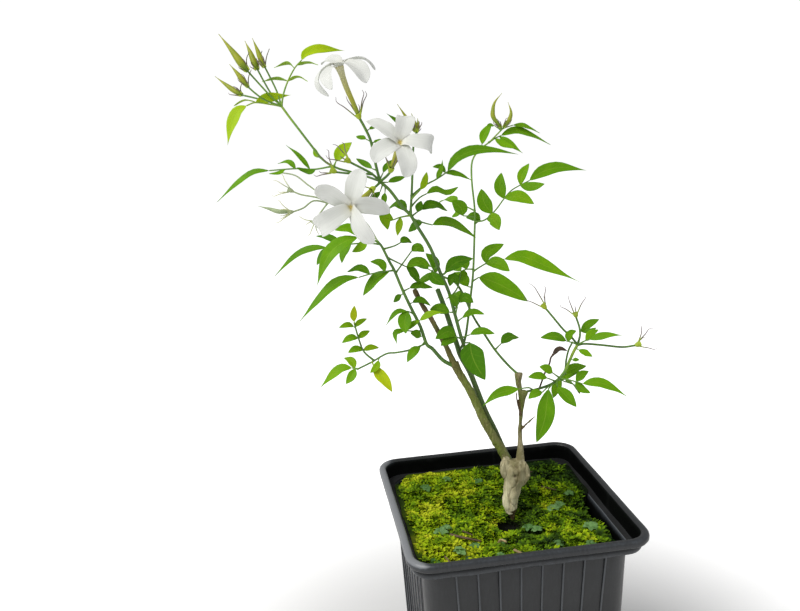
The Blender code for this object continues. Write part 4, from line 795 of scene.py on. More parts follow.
TRUNK_LINES = (
    # points, widths, bark tone at foot and top
    ([(0.3, -17.5, -4.4), (0.6, -10, -2.5), (1.0, -4, -1), (0.4, -0.4, 0), (0, 1.5, 0.4)],
     [3.0, 2.0, 1.9, 3.2, 4.0], 0.0, 0.2),
    ([(0.1, 0.2, 0.2), (-0.3, 3, 0.6), (-0.4, 6, 1.2), (0.2, 10, 2.5), (1.2, 15, 4), (1.8, 19, 5),
     (1.9, 23, 5.5), (1.9, 25.2, 6)], [4.8, 6.6, 7.6, 8.0, 9.0, 10.8, 11.4, 8.6], 1.08, 0.76),
    ([(-1.6, 17.5, 5.5), (-2.9, 20.5, 6.2), (-3.2, 24, 6.8), (-2.4, 26, 7)], [3.6, 4.8, 4.6, 3.2],
     0.88, 0.78),
    ([(4.6, 14.5, 5), (6.3, 18, 5.8), (6.7, 22, 6.4), (5.8, 24.8, 7)], [3.8, 5.0, 4.8, 3.2], 0.9, 0.8),
    ([(-1.0, 23.6, 3.4), (-3.6, 29.5, 5.6), (-7.8, 36, 8), (-14, 47, 11), (-20, 60, 13), (-26, 70, 15),
     (-28, 74.5, 16)], [5.0, 4.5, 4.3, 4.1, 3.9, 3.8, 4.2], 0.60, 0.44),
    ([(-28, 73, 16), (-31, 80, 17), (-35, 88, 18), (-40, 97, 19), (-44, 103, 20), (-48, 111, 21)],
     [3.4, 2.7, 2.5, 2.4, 2.4, 2.5], 0.45, 0.3),
    ([(3, 18, 5), (4.5, 26, 6), (4.5, 36, 7), (4.5, 43, 8), (5, 50, 9), (6, 56, 10), (7, 60.5, 11)],
     [6.0, 4.4, 2.4, 2.0, 2.1, 2.3, 3.2], 0.8, 0.5),
    ([(5.2, 52, 9.3), (4.5, 61, 11), (3.5, 65, 12), (3.8, 69.5, 13)], [1.8, 2.4, 2.8, 4.0], 0.45, 0.66),
    ([(4.8, 49, 8.9), (3, 56, 10.5), (2.5, 60, 12)], [1.0, 0.9, 0.8], 0.2, 0.2),
    ([(4.7, 41, 7.8), (8, 44.5, 9), (12, 48, 10)], [1.0, 0.9, 0.7], 0.3, 0.3),
)
KNOTS = (
    # layout point, radius in mm, how deep (or proud, if negative), how dark (painted shade, strongest in the
    # deep holes)
    ((3.4, 23.6, 11.4), 2.2, 1.5, 0.95),
    ((2.0, 18, 10.4), 1.5, 0.8, 0.9),
    ((-4.6, 23, 9.5), 1.5, -0.5, 0.1),
    ((8.8, 18.5, 7.5), 1.5, -0.5, 0.0),
    ((-2.6, 26.4, 10.0), 2.0, 0.4, 0.75),
    ((0.6, 21, 11.2), 1.3, -0.4, 0.0),
    ((-28.5, 73, 18.0), 1.7, -0.5, 0.25),
    ((3.8, 69.8, 13.2), 1.5, 0.7, 0.7),
    ((-48, 111.4, 21.2), 1.0, 0.5, 0.7),
)
TRUNK_VOXEL = 0.34


def make_trunk():
    """The stump with its legs and brown canes: joined tubes, remeshed, then knotted and fissured."""
    skin = Skin()
    lines = []
    for points, widths, low, high in TRUNK_LINES:
        line = spline([place(*p) for p in points], 6)
        sizes = [w.x for w in spline([Vector((w, 0, 0)) for w in widths], 6)]
        tube(skin, line, sizes, sides=18, tone=0.5)
        lines.append((line, low, high))
    rough = linked("trunk_rough", skin.mesh("trunk_rough"))
    step = rough.modifiers.new("Join", "REMESH")
    step.mode = "VOXEL"
    step.voxel_size = TRUNK_VOXEL * MM
    step = rough.modifiers.new("Ease", "SMOOTH")
    step.iterations = 4
    step.factor = 0.6
    mesh = evaluated(rough, "trunk_bark")
    normals = [v.normal.copy() for v in mesh.vertices]
    spots = np.empty(len(mesh.vertices) * 3, np.float32)
    mesh.vertices.foreach_get("co", spots)
    closest = np.full(len(mesh.vertices), np.inf)
    tones = np.zeros(len(mesh.vertices))
    for line, low, high in lines:
        for k, point in enumerate(line):
            away = np.linalg.norm(spots.reshape(-1, 3) - np.array(point), axis=1)
            nearer = away < closest
            closest[nearer] = away[nearer]
            tones[nearer] = low + (high - low) * k / (len(line) - 1)
    knots = [(place(*at), radius * MM, depth, dark) for at, radius, depth, dark in KNOTS]
    # marks holds painted shade: the fissures and the knot holes are darkened
    marks = []
    for vertex, normal, shade in zip(mesh.vertices, normals, tones):
        spot = vertex.co.copy()
        fibre = noise.noise(Vector((spot.x * 900, spot.y * 900, spot.z * 170)))
        lump = noise.noise(spot * 260)
        split = 1 - min(1.0, abs(noise.noise(Vector((spot.x * 420 + 5, spot.y * 420, spot.z * 75)))) / 0.11)
        vertex.co = spot + normal * (0.30 * fibre + 0.42 * lump * min(1.0, shade) - 0.34 * split * shade) * MM
        recess_shade = 0.55 * split * shade
        for at, radius, depth, dark in knots:
            away = (spot - at).length / radius
            if away < 1.6:
                pull = math.exp(-2.2 * away * away)
                vertex.co -= normal * (depth * pull * MM)
                recess_shade = max(recess_shade, dark * math.exp(-3.0 * away * away))
        marks.append(recess_shade)
    stored(mesh, tone=tones.tolist(), under=marks)
    mesh.shade_smooth()
    piece("trunk_bark", mesh, "bark", "trunk")


# Plant

def make_flowering_stem():
    """The green cane with its cut top, and the stem from it that carries the three flowers."""
    s = Sprig("flowering_stem", 11)
    bud_fork = (-47, 189, 41)
    junction = (-65, 164.5, 43)
    s.stem([(-0.4, 25.4, -1.0), (-4.6, 33.4, 0.0), (-8, 41, 3.2), (-12.5, 50, 6.6), (-16.5, 60, 8.6),
        (-20.5, 70, 10), (-25, 78, 11), (-27, 84, 12), (-31, 96, 14), (-33, 102, 15), (-36.5, 111, 17)],
        3.0, 2.4, tone=(0.3, 0.42))
    s.stem([(-21.5, 72, 11), (-22.2, 79, 13.4), (-25, 88, 16.5), (-28.5, 101, 20), (-31, 110, 22),
        (-35, 119, 25), (-40, 131.5, 29), (-47, 143, 33), (-50, 148, 35), (-54, 152, 37), (-60, 160, 41),
        junction], 1.8, 1.4, tone=(0.36, 0.5))
    # pedicels from the junction of the flowers
    s.stem([junction, (-67, 172, 44.5), (-69.5, 184, 46.5), (-72, 190, 47), (-75, 195.5, 48)], 1.3, 1.2)
    s.calyx((-75, 195.5, 48), (-76, 197.8, 48.2),
        [(-87, 206.5, 50), (-74, 210, 53), (-72.5, 209.5, 44), (-82, 207, 43)])
    s.stem([junction, (-62, 167, 47), (-60.2, 169, 49.5)], 1.2, 1.1)
    s.calyx((-60.2, 169, 49.5), (-59.4, 171.2, 51),
        [(-63.5, 181, 53), (-54, 178, 49), (-57, 177, 57), (-62, 176, 46)])
    s.stem([junction, (-66.2, 163, 44.5), (-67.6, 161.8, 45.6)], 1.2, 1.1)
    s.calyx((-67.6, 161.8, 45.6), (-69.3, 160.4, 46.8), [(-77, 165, 42), (-66, 152, 46), (-73, 153, 42)])
    s.stem([(-65, 165, 43), (-70, 169, 46.5), (-79.6, 174, 48)], 1.1, 1.0)
    s.calyx((-79.6, 174, 48), (-82, 175.6, 48.3), [(-92, 177.6, 50), (-88.6, 183, 48), (-84, 184, 46)])
    s.stem([(-69, 168.6, 46), (-79, 168.5, 49), (-86.6, 169.2, 49.5)], 1.0, 0.9)
    s.calyx((-86.6, 169.2, 49.5), (-89.4, 170.2, 49.6),
        [(-96.4, 177, 51), (-98, 168, 50), (-91.6, 180.4, 47)])
    # bract on the pedicel of the top flower, and the small leaves at the junction
    s.simple([(-69.4, 183, 46.3), (-68.4, 184, 45.6)], 2.6, -2, (-66.3, 184.5), (-63.5, 185.5), stalk=0.8)
    s.simple([(-66.6, 170, 44.2), (-69, 171, 42)], 3.4, -4, (-72, 173), (-77, 176), stalk=0.8)
    s.simple([(-65, 165.5, 43), (-63.5, 169, 42)], 3.2, -3, (-61.8, 172), (-58.5, 175.5), stalk=0.8)
    s.simple([(-64.5, 164, 43), (-61, 164.2, 41)], 3.6, -4, (-58, 165.2), (-52.5, 167), stalk=0.8)
    s.simple([(-63.6, 163.4, 42.5), (-65, 159.5, 43)], 3.4, 2, (-67, 157.5), (-70, 154), stalk=0.8)
    s.simple([(-62.5, 162.2, 42), (-62.6, 159, 41)], 3.0, 1, (-63, 156), (-63, 152.5), stalk=0.8)
    # small leaves behind the pedicel of the top flower
    s.simple([(-71.8, 189.7, 47), (-70.5, 190.5, 44)], 2.6, -2, (-66, 192.5), stalk=0.7)
    s.simple([(-69.5, 184.5, 46.5), (-72, 185.6, 43)], 3.4, -3, (-77, 187), stalk=0.7)
    # stem behind the middle flower, with its young buds
    s.stem([(-50, 148, 35), (-49.3, 160, 36), (-49, 169, 38), (-48.5, 182, 40), bud_fork], 1.2, 0.9)
    s.bud([bud_fork, (-50, 194, 42), (-52, 196.5, 42.5), (-56.5, 203, 43)], 2.2)
    s.bud([bud_fork, (-47.6, 193, 41), (-49.5, 198.5, 41)], 1.9)
    s.bud([bud_fork, (-46.2, 192, 40.5), (-46.4, 196, 40)], 1.8)
    s.simple([(-48.8, 183, 40.2), (-53, 190, 39)], 3.0, -2, (-56, 194), (-62, 198.5), stalk=0.8)
    # leaves of the node half way up
    s.leaf([(-50, 147.5, 35), (-55, 146.8, 37), (-58.5, 145.5, 39)],
        [(6.6, 4, (-58.5, 146), (-63, 146.8), (-61.2, 140.6)),
         (3.8, 2, (-54.6, 146), (-55.6, 142), (-56.4, 137.6))], tone=0.66)
    s.leaf([(-50.5, 148.6, 35), (-52, 150, 33)], [(6.0, -5, (-51.4, 150), (-56, 153.4), (-62, 150))],
        stalk=0.9)
    s.leaf([(-49, 147.6, 34.6), (-46.5, 149.5, 32), (-44.5, 150.6, 31)],
        [(6.4, -4, (-44.5, 150.6), (-38.5, 153), (-31.4, 149.8)), (4.0, 0, (-46.5, 149.5), (-44.5, 155))])
    s.leaf([(-48.6, 146, 34), (-43, 144, 30), (-39, 143, 28)],
        [(7.8, -8, (-39, 143), (-33, 144.6), (-26, 142), (-17.4, 136.6)),
         (6.0, -4, (-44.4, 144.4), (-47.4, 142.6), (-51, 139.6))])
    s.simple([(-49.4, 152, 35.2), (-45.5, 156.5, 33), (-42, 158.5, 31)], 5.4, -5, (-37, 160.5), (-32, 158.5),
        (-26, 162))
    s.simple([(-49.3, 156, 35.6), (-45, 160.5, 37)], 3.6, 3, (-43, 164), (-41.8, 169.4), tilt=10, tone=0.78)
    # branch to the long leaf over the right side
    s.leaf([(-49.2, 157.5, 36), (-44, 162, 31), (-37, 165.8, 27), (-31.5, 169.5, 24)],
        [(6.6, -9, (-31.5, 169.5), (-27, 176), (-18, 180), (-8, 180), (4, 178)),
         (3.8, -4, (-33, 168.5), (-27, 168.4), (-19, 165)),
         (3.0, 2, (-33, 168.8), (-35, 171.8), (-39, 171.8)),
         (2.8, 0, (-37, 166), (-34.6, 171), (-34, 175.6))], stalk=1.1)
    # leaves low on the flowering stem
    s.leaf([(-30.2, 107, 21.6), (-26.5, 112, 19), (-25, 119, 17)],
        [(5.0, 1, (-26, 114), (-29, 117), (-30.5, 112.5)),
         (4.6, -4, (-26, 115), (-23.8, 117.5), (-23.5, 121))])
    s.simple([(-34.6, 118, 24.8), (-32.6, 119.4, 23)], 7.0, -4, (-27, 124.4), (-18.8, 126.4))
    s.simple([(-28.4, 99.6, 19.6), (-30.5, 99.6, 18.8)], 5.4, -2.4, (-35.5, 101.6), (-40.4, 101), tilt=10)
    s.simple([(-28.6, 100.5, 20), (-25.8, 104.5, 19.5)], 5.2, 2, (-23, 107), (-18.6, 104.4))
    s.simple([(-28, 98, 19.4), (-26.6, 102.4, 22)], 4.8, 4, (-28.6, 106), (-31.4, 108.6))
    s.leaf([(-26.8, 95, 18.4), (-23.8, 97.2, 19)], [(3.8, 2, (-24.3, 96.9), (-19, 99.8), (-13, 98.6))])
    s.simple([(-24.6, 87, 16.2), (-20.5, 88.5, 18)], 4.2, 1, (-15, 90.4), (-8, 89))
    s.leaf([(-24.4, 86.4, 16), (-27.5, 87.6, 19)],
        [(6.2, 4, (-27.5, 87.6), (-31.5, 90), (-37.6, 86.4)),
         (5.0, 4, (-26.5, 87.2), (-30.5, 86), (-35, 83))])
    s.simple([(-23.6, 84.5, 15.4), (-20.4, 84.6, 19)], 11.8, 5, (-19.6, 79), (-17.4, 73.4), (-12.8, 66),
        tilt=15, tone=0.25)
    s.simple([(-36.6, 122.6, 26.2), (-39.6, 119.8, 28)], 5.8, 2, (-38, 116.4), (-32.6, 113))
    s.finish()


def make_upper_left_spray():
    """The long stem to the top left, with two leaves and five buds at its fork."""
    s = Sprig("upper_left_spray", 23, tone=0.62)
    fork = (-114, 202, 42)
    s.stem([(-65.2, 164.8, 42.8), (-73, 167.5, 40), (-80, 169.5, 39), (-87, 171.5, 39), (-93.5, 175.5, 40),
        (-100, 183.5, 41), (-105, 190, 42), (-110, 196.5, 42), fork], 1.0, 1.05, tone=(0.4, 0.75))
    s.leaf([fork, (-113, 208, 42), (-111, 214, 41), (-107.5, 220.8, 39), (-104, 224.8, 38)],
        [((5.4, 0.1, 1.2), -5, (-104, 224.8), (-101.5, 228.4), (-94, 230.4), (-82.5, 229.5)),
         ((3.0, 1.3, 0.0), -4, (-107.5, 220.8), (-111, 223.2), (-118, 221)),
         ((3.0, -1.3, 0.0), 2, (-106, 222.2), (-100.6, 223.6), (-95.6, 222.4)),
         ((3.0, 1.3, 0.0), -4, (-110.8, 214.6), (-117, 215.6), (-124, 214)),
         ((3.0, -1.3, 0.1), 2, (-110.8, 214.4), (-105.6, 216.4), (-100.8, 214.2))], tone=0.72)
    s.leaf([fork, (-120, 203, 43), (-127, 203.8, 45), (-131.4, 202.2, 46)],
        [(6.6, 2, (-131.4, 202.2), (-136.2, 198.8), (-139.2, 191), (-140.8, 182.4)),
         ((5.0, 0.6, 0.2), -4, (-127, 204), (-120.4, 206.2), (-109, 207.6)),
         ((4.4, 0.9, 0.2), -1, (-126, 203.8), (-132, 204.8), (-137.8, 202))], tilt=25, tone=0.82)
    for stalk, width, bud in (
        ([fork, (-119.6, 207.2, 44), (-125, 213, 45)], 3.3,
         [(-130.6, 219.2, 46), (-134, 223.5, 46.3), (-138.5, 229.5, 46.7), (-145.2, 237.8, 47)]),
        ([fork, (-119, 208, 41), (-122.6, 214, 40)], 2.7,
         [(-125.8, 220, 39.5), (-127.6, 224, 39.2), (-129.6, 229, 38.7), (-132.2, 234.4, 38)]),
        ([fork, (-116, 208.5, 42), (-119, 215, 42)], 2.4,
         [(-122.2, 221.2, 43), (-124, 225, 43.2), (-126, 230, 43.6), (-128.5, 235.8, 44)]),
        ([fork, (-122, 205, 47), (-126.5, 208, 48)], 2.4,
         [(-130.4, 211.4, 49), (-133, 214.6, 49.3), (-136, 218.4, 49.7), (-139.8, 222.8, 50)]),
        ([fork, (-121, 204.4, 38), (-127, 206, 37)], 2.3,
         [(-133.4, 207.5, 36), (-137, 209.4, 35.5), (-141.5, 212.6, 34.8), (-147, 216.8, 34)]),
    ):
        base = bud[0]
        s.stem([*stalk, base], 0.8, 0.8, tone=(0.6, 0.5))
        s.bud(bud, width)
        knee = (bud[1][0] + 2.6, bud[1][1] + 1.5, bud[1][2] + 1.5)
        tip = (bud[1][0] + 4.0, bud[1][1] + 5.5, bud[1][2] + 3.0)
        s.stem([base, knee, tip], 0.55, 0.3, tone=0.2)
    # leaves beside the flowers, low on this stem
    s.simple([(-88, 172, 39), (-87, 174.5, 41)], 6.4, 3, (-84.5, 179), (-79, 184), tilt=25, tone=0.7)
    s.simple([(-93.5, 175.5, 40), (-95, 176.4, 37)], 2.8, -4, (-96.8, 178), (-97.8, 181.5), stalk=0.8)
    # the long leaf that hangs out to the left
    s.leaf([(-88.5, 172.2, 39), (-98, 170.6, 36), (-106, 171, 34), (-114, 170.5, 33), (-120, 170, 32)],
        [(4.6, -1, (-120, 170), (-128, 169), (-136.4, 163.2), (-146.6, 153.8)),
         (5.4, 4, (-97, 170.8), (-101, 169), (-106.6, 171.4)),
         (3.0, -3, (-107, 171), (-110.5, 174.4), (-116, 173.4)),
         (2.8, -2, (-100, 170.7), (-105.6, 177.6), (-112, 182.8)),
         (2.8, 3, (-112, 170.6), (-115.6, 168.6), (-120.4, 168.4))], tilt=45, tone=0.45)
    s.finish()


def make_left_stem():
    """The dark stem on the left with its leaves."""
    s = Sprig("left_stem", 31)
    s.stem([(-29.0, 73.2, 16.4), (-34, 76, 18.4), (-39, 81.5, 20), (-42, 84, 21), (-45, 92.5, 23),
        (-50, 102.5, 26), (-54, 111, 28), (-58, 120.5, 31), (-60.5, 125, 32), (-64, 132, 34),
        (-66, 134.5, 35)], 1.9, 1.1)
    s.leaf([(-66, 134.5, 35), (-71, 136.5, 36), (-76, 137, 37)],
        [(8.0, 5, (-76, 137), (-84, 134), (-90, 129), (-94, 120.5), (-96.5, 112)),
         (4.6, -2, (-72, 136.6), (-74, 132.5), (-79, 129.5)),
         (4.8, 2, (-74.5, 137), (-80, 141.5), (-88, 140.5))], tone=0.55)
    s.leaf([(-65, 133.4, 34.6), (-73, 134, 31), (-84, 133, 28), (-91, 131.6, 26)],
        [(5.4, -2, (-91, 131.6), (-98, 131.2), (-107, 127.5), (-118, 117)),
         (4.8, -4, (-85, 133), (-90, 136.5), (-97, 137.5)),
         (4.6, 3, (-88, 132.2), (-93, 128.6), (-96.5, 123)), (4.6, 2, (-79, 133.6), (-83, 129), (-84, 124))],
        tilt=45)
    s.simple([(-63.5, 131, 33.6), (-58, 132.6, 30), (-55, 134.2, 28)], 4.8, -2, (-52.4, 135.4), (-49.2, 134))
    s.simple([(-57.4, 119, 30.6), (-53, 125, 28), (-49.4, 130, 26)], 4.8, 1, (-46.4, 131.8), (-43, 129.6))
    s.leaf([(-61.2, 127, 32.4), (-56.5, 124.4, 29), (-52, 122.2, 27)],
        [(5.6, -3, (-52, 122.2), (-48.5, 119), (-45.5, 114)),
         (5.6, 0, (-51, 122.4), (-45.5, 125), (-39.6, 122))])
    s.leaf([(-58, 120.5, 31), (-64, 119.6, 33), (-70, 118.6, 35), (-75.5, 117, 36)],
        [(6.2, 3, (-75.5, 117), (-84, 115.5), (-93, 108.5), (-105.5, 94.5)),
         (6.0, 3, (-60.4, 120), (-67, 116.4), (-73.5, 107.8)),
         (4.6, -2, (-70, 118.6), (-75, 121.6), (-81.5, 119.6)),
         (4.4, -2, (-62.4, 119.9), (-64.6, 124), (-70, 124.8))], tilt=40)
    s.simple([(-53.2, 109, 27.6), (-54.4, 108.4, 26)], 3.8, -2, (-58.4, 104.6), stalk=0.8)
    s.simple([(-53.6, 110, 28), (-50.5, 111.6, 25.6)], 4.8, -3, (-46, 112.8), (-38.8, 111.8))
    s.simple([(-50.6, 103.8, 26.2), (-49, 104.4, 24)], 4.0, -2, (-45, 105.8), (-39.8, 102.8), stalk=0.8)
    s.leaf([(-48, 98, 24.8), (-49.5, 99.4, 27), (-51.5, 100.2, 29)],
        [(7.0, 3, (-51, 100), (-52.8, 95.6), (-52.2, 89)),
         (3.0, 2, (-51.5, 100.2), (-57, 99.6), (-62.4, 92.8))])
    s.simple([(-43.4, 88, 22), (-44.6, 87.6, 24.4)], 4.6, 2, (-47, 88.8), (-50, 89.4), stalk=0.8)
    s.simple([(-44.2, 90.4, 22.6), (-48, 90.2, 25), (-52.6, 90.6, 27)], 3.2, 2, (-57.4, 89.4), (-56.6, 83.4))
    s.leaf([(-46.2, 95, 23.8), (-45.4, 95.6, 27.5)],
        [(3.8, 2, (-45.4, 95.6), (-39.6, 99), (-32.6, 99.4)),
         (3.4, 1, (-45.4, 95.4), (-49.6, 93.2), (-53.6, 89.8))], stalk=0.9, tone=0.58)
    s.simple([(-42.4, 85.4, 21.2), (-45, 82.6, 24)], 4.8, 3, (-48.4, 80), (-51.6, 74.8), stalk=0.9)
    s.finish()


def make_lower_left_spray():
    """The side shoot low on the left, with an upright young tip."""
    s = Sprig("lower_left_spray", 43, tone=0.6)
    s.stem([(-42.0, 84.2, 20.8), (-50, 81, 19), (-57, 79.6, 18), (-62, 79, 17.4), (-69, 75, 17),
        (-76, 71.5, 17)], 0.9, 0.9)
    s.stem([(-68, 75.6, 17), (-73, 80, 18), (-75.5, 86, 19), (-77.8, 94, 20)], 1.0, 0.8)
    s.simple([(-77.8, 94, 20), (-77.9, 95, 20)], 3.6, 2, (-78.2, 98), (-77.8, 103),
        tilt=5, stalk=0.8, tone=0.85)
    s.leaf([(-77.4, 92, 19.8), (-78, 92.4, 20)],
        [(3.2, 3, (-78, 92.4), (-81, 93.4), (-85.5, 92)),
         (3.0, -3, (-77.6, 92.4), (-75, 94.8), (-71.5, 96.5))], stalk=0.8)
    s.leaf([(-75.6, 86.4, 19), (-76, 86.8, 19)],
        [(4.0, 3, (-76, 86.8), (-79.5, 87), (-84, 84.4)), (3.6, -3, (-75.8, 86.8), (-73, 89), (-70, 90.5))],
        stalk=0.8)
    s.leaf([(-73.2, 80.4, 18), (-73.6, 80.8, 18)],
        [(3.8, 3, (-73.6, 80.8), (-77, 81.4), (-81, 79.6)),
         (3.4, -3, (-73.4, 80.8), (-69.5, 82.2), (-65.5, 82))], stalk=0.8)
    s.leaf([(-76, 71.5, 17), (-79, 72, 17)],
        [(5.4, 1, (-79, 72), (-84.5, 71.6), (-89.5, 67.5), (-95, 62)),
         (4.6, 3, (-77.5, 71.8), (-79, 68), (-82, 64)), (4.4, -4, (-77.5, 71.8), (-79.5, 75.6), (-83, 77))])
    s.simple([(-69, 75, 17), (-68.4, 73.4, 18)], 5.8, 4, (-65.5, 69), (-62.5, 65.5), (-59, 60),
        tilt=20, stalk=0.9, tone=0.93)
    s.simple([(-65.5, 77, 17.2), (-65.8, 75.8, 18)], 3.6, 3, (-66.8, 72.6), (-70, 69.5), stalk=0.8)
    s.finish()


def make_far_spray():
    """A thin spray of open empty calyces, behind the left flower."""
    s = Sprig("far_spray", 59)
    fork = (-91, 154, -6)
    s.stem([(-66, 134.6, 34.9), (-72, 144, 24), (-80, 151, 8), fork], 0.9, 1.0)
    s.stem([fork, (-96, 156.5, -7), (-104, 158, -8), (-108, 159.5, -8)], 0.9, 0.9)
    s.calyx((-108, 159.5, -8), (-110.5, 160.5, -8), [(-118, 165, -6), (-119, 158, -9), (-115, 168.5, -12)],
        cup=2.4)
    s.stem([fork, (-98, 155, -4), (-103, 151.5, -3), (-108, 149.6, -2)], 0.9, 0.9)
    s.calyx((-108, 149.6, -2), (-110.5, 149.2, -2), [(-116, 155, 0), (-117, 144.5, -2)], cup=2.4)
    s.bud([(-110, 149.2, -2), (-115, 149.6, -2), (-120, 151, -3), (-126, 152.5, -4)], 2.2)
    s.stem([fork, (-94, 150, -5), (-97, 146, -4)], 0.9, 0.9)
    s.calyx((-97, 146, -4), (-98.4, 144, -4), [(-105.5, 147, -3), (-101, 137.5, -2), (-96, 138, -7)], cup=2.4)
    s.stem([fork, (-93, 157, -8), (-101, 163, -10), (-107, 167.5, -11), (-114, 169, -11)], 0.9, 0.7)
    s.finish("pale", "pale")


def make_back_stem():
    """The upright stem behind, with the large leaves on the right."""
    s = Sprig("back_stem", 61, tone=0.51)
    s.stem([(-25.6, 80.8, 11.2), (-23, 86, 8.5), (-21.5, 95, 6), (-20, 108, 4), (-18.8, 120, 1),
        (-18.2, 137, -2), (-18, 150, -4), (-19.5, 165, -6), (-19.2, 175, -7), (-15, 181, -8), (-11, 184, -9),
        (-4, 191, -10)], 1.3, 0.75, tone=(0.45, 0.75))
    # top leaves and young shoots
    s.simple([(-15, 181, -8), (-14.4, 183, -9)], 4.4, -3, (-13.4, 188), (-9.6, 193.5), stalk=0.9)
    s.leaf([(-11, 184, -9), (-8, 186, -10), (-5, 187.4, -11)],
        [(5.4, -5, (-5, 187.4), (2, 189.8), (10, 187.6), (20, 182.6)),
         (4.4, 3, (-8, 186), (-4, 183), (2, 181)), (4.0, 3, (-6, 187), (-2, 184.2), (6, 178.5))])
    s.bud([(-4.6, 190.6, -10), (-8.5, 196, -10), (-9, 199.5, -10), (-8, 204, -10), (-4.5, 208.5, -10)], 2.2)
    s.bud([(-4, 191, -10), (-1, 195, -9), (0, 199, -9), (-1.5, 204, -9)], 2.0)
    s.simple([(-5, 190, -10), (-8.5, 192.5, -8)], 2.6, 2, (-12, 192.5), stalk=0.7)
    s.simple([(-4, 191, -10), (1, 192.6, -12)], 3.4, -3, (7, 192), (14.5, 188.5), stalk=0.8)
    # the face-on leaf on the right
    s.leaf([(-18.2, 144.5, -3.6), (-13, 145.5, -1), (-8, 150, 0), (-3.5, 156, 0), (0, 160, -1),
        (4, 162.5, -2), (9, 165, -3)], [(6.6, -5, (9, 165), (16, 169.6), (25, 171.6), (38, 170)),
        (4.6, -2, (4.6, 162.8), (5.4, 168), (9, 173.6)), (5.2, 3, (4.6, 162.4), (10, 161.8), (16.8, 163.4)),
        (6.0, -3, (-3.6, 156), (-5.6, 162), (-4.8, 169)), (6.4, 3, (-3, 156), (4, 157), (11.5, 153.4)),
        (7.2, -3, (-9.5, 148.6), (-13.4, 154), (-14.8, 161)),
        (6.4, 4, (-12, 145.8), (-8.4, 145.8), (-5.8, 140.4))], tilt=15)
    s.simple([(-18.1, 147, -3.6), (-24, 147.6, -2)], 6.8, 2, (-25, 151.5), (-29.4, 155.2), tilt=15)
    s.simple([(-18, 143.6, -3.4), (-15.2, 145.4, -5)], 5.0, -3, (-18.6, 147.2), (-22.4, 146.6), tilt=15)
    # the long drip-tipped leaf under it
    s.leaf([(-18.8, 120, 1), (-13, 123.6, 2), (-8, 125.4, 2), (-3.5, 126, 2)],
        [((8.0, 0, 0, 2.6), 2, (-3.5, 126), (6, 127.2), (18, 122.2), (36.4, 113.6)),
         (6.0, -3, (-12.5, 124), (-12, 129), (-3.5, 133.6)),
         (6.8, 4, (-12.6, 123.8), (-7, 124), (-0.6, 120))], tilt=30)
    s.simple([(-19.4, 115, 2.2), (-16, 117, 5)], 10.2, 3, (-9.5, 115), (-0.5, 110.6), (8.4, 105), tilt=30)
    # leaves behind, on the far side of the plant
    s.leaf([(-18.8, 121, 0.8), (-22, 121, -6), (-25, 120, -13)],
        [(7.4, -12, (-25, 120), (-29, 121.6), (-33.5, 118)), (6.2, -6, (-22, 121), (-24, 124.6), (-28, 127))],
        tilt=55)
    s.simple([(-19.6, 112, 2.9), (-21.4, 112.4, -1)], 6.4, -4, (-24.5, 116.5), (-28.6, 119.4), tilt=30)
    s.leaf([(-18, 150, -4), (-22, 152, -11), (-27, 154, -17)],
        [(7.0, -14, (-27, 154), (-31, 156), (-36, 154)), (5.6, -7, (-23, 152.4), (-26, 149), (-29.5, 147))],
        tilt=55)
    s.simple([(-20.6, 103, 4.8), (-22, 105, -2), (-24, 106, -8)], 7.0, -12, (-28, 108), (-32.5, 106), tilt=55)
    s.finish()


def make_right_cane():
    """The stem from the cut top of the right leg, leaning left behind the flowering stem."""
    s = Sprig("right_cane", 73)
    s.stem([(3.0, 69.2, 12.9), (-2, 74, 12.6), (-8, 81, 13), (-14, 90, 13.4), (-19, 98, 13.4), (-24, 109, 13),
        (-28, 114.6, 12), (-33, 117, 10)], 1.2, 1.1)
    s.leaf([(-33, 117, 10), (-37, 119, 6), (-41, 121, 2)],
        [(6.0, -6, (-41, 121), (-46, 124), (-52, 122.6)),
         (5.0, -2, (-37.5, 119.4), (-38, 124.6), (-42.5, 129)),
         (5.0, -1, (-37.5, 119.4), (-42, 116.4), (-47, 113.5))], tilt=45)
    s.simple([(-8, 81, 13), (-5, 84, 10)], 5.4, -6, (-1, 87.4), (4, 87), tilt=40)
    s.finish()


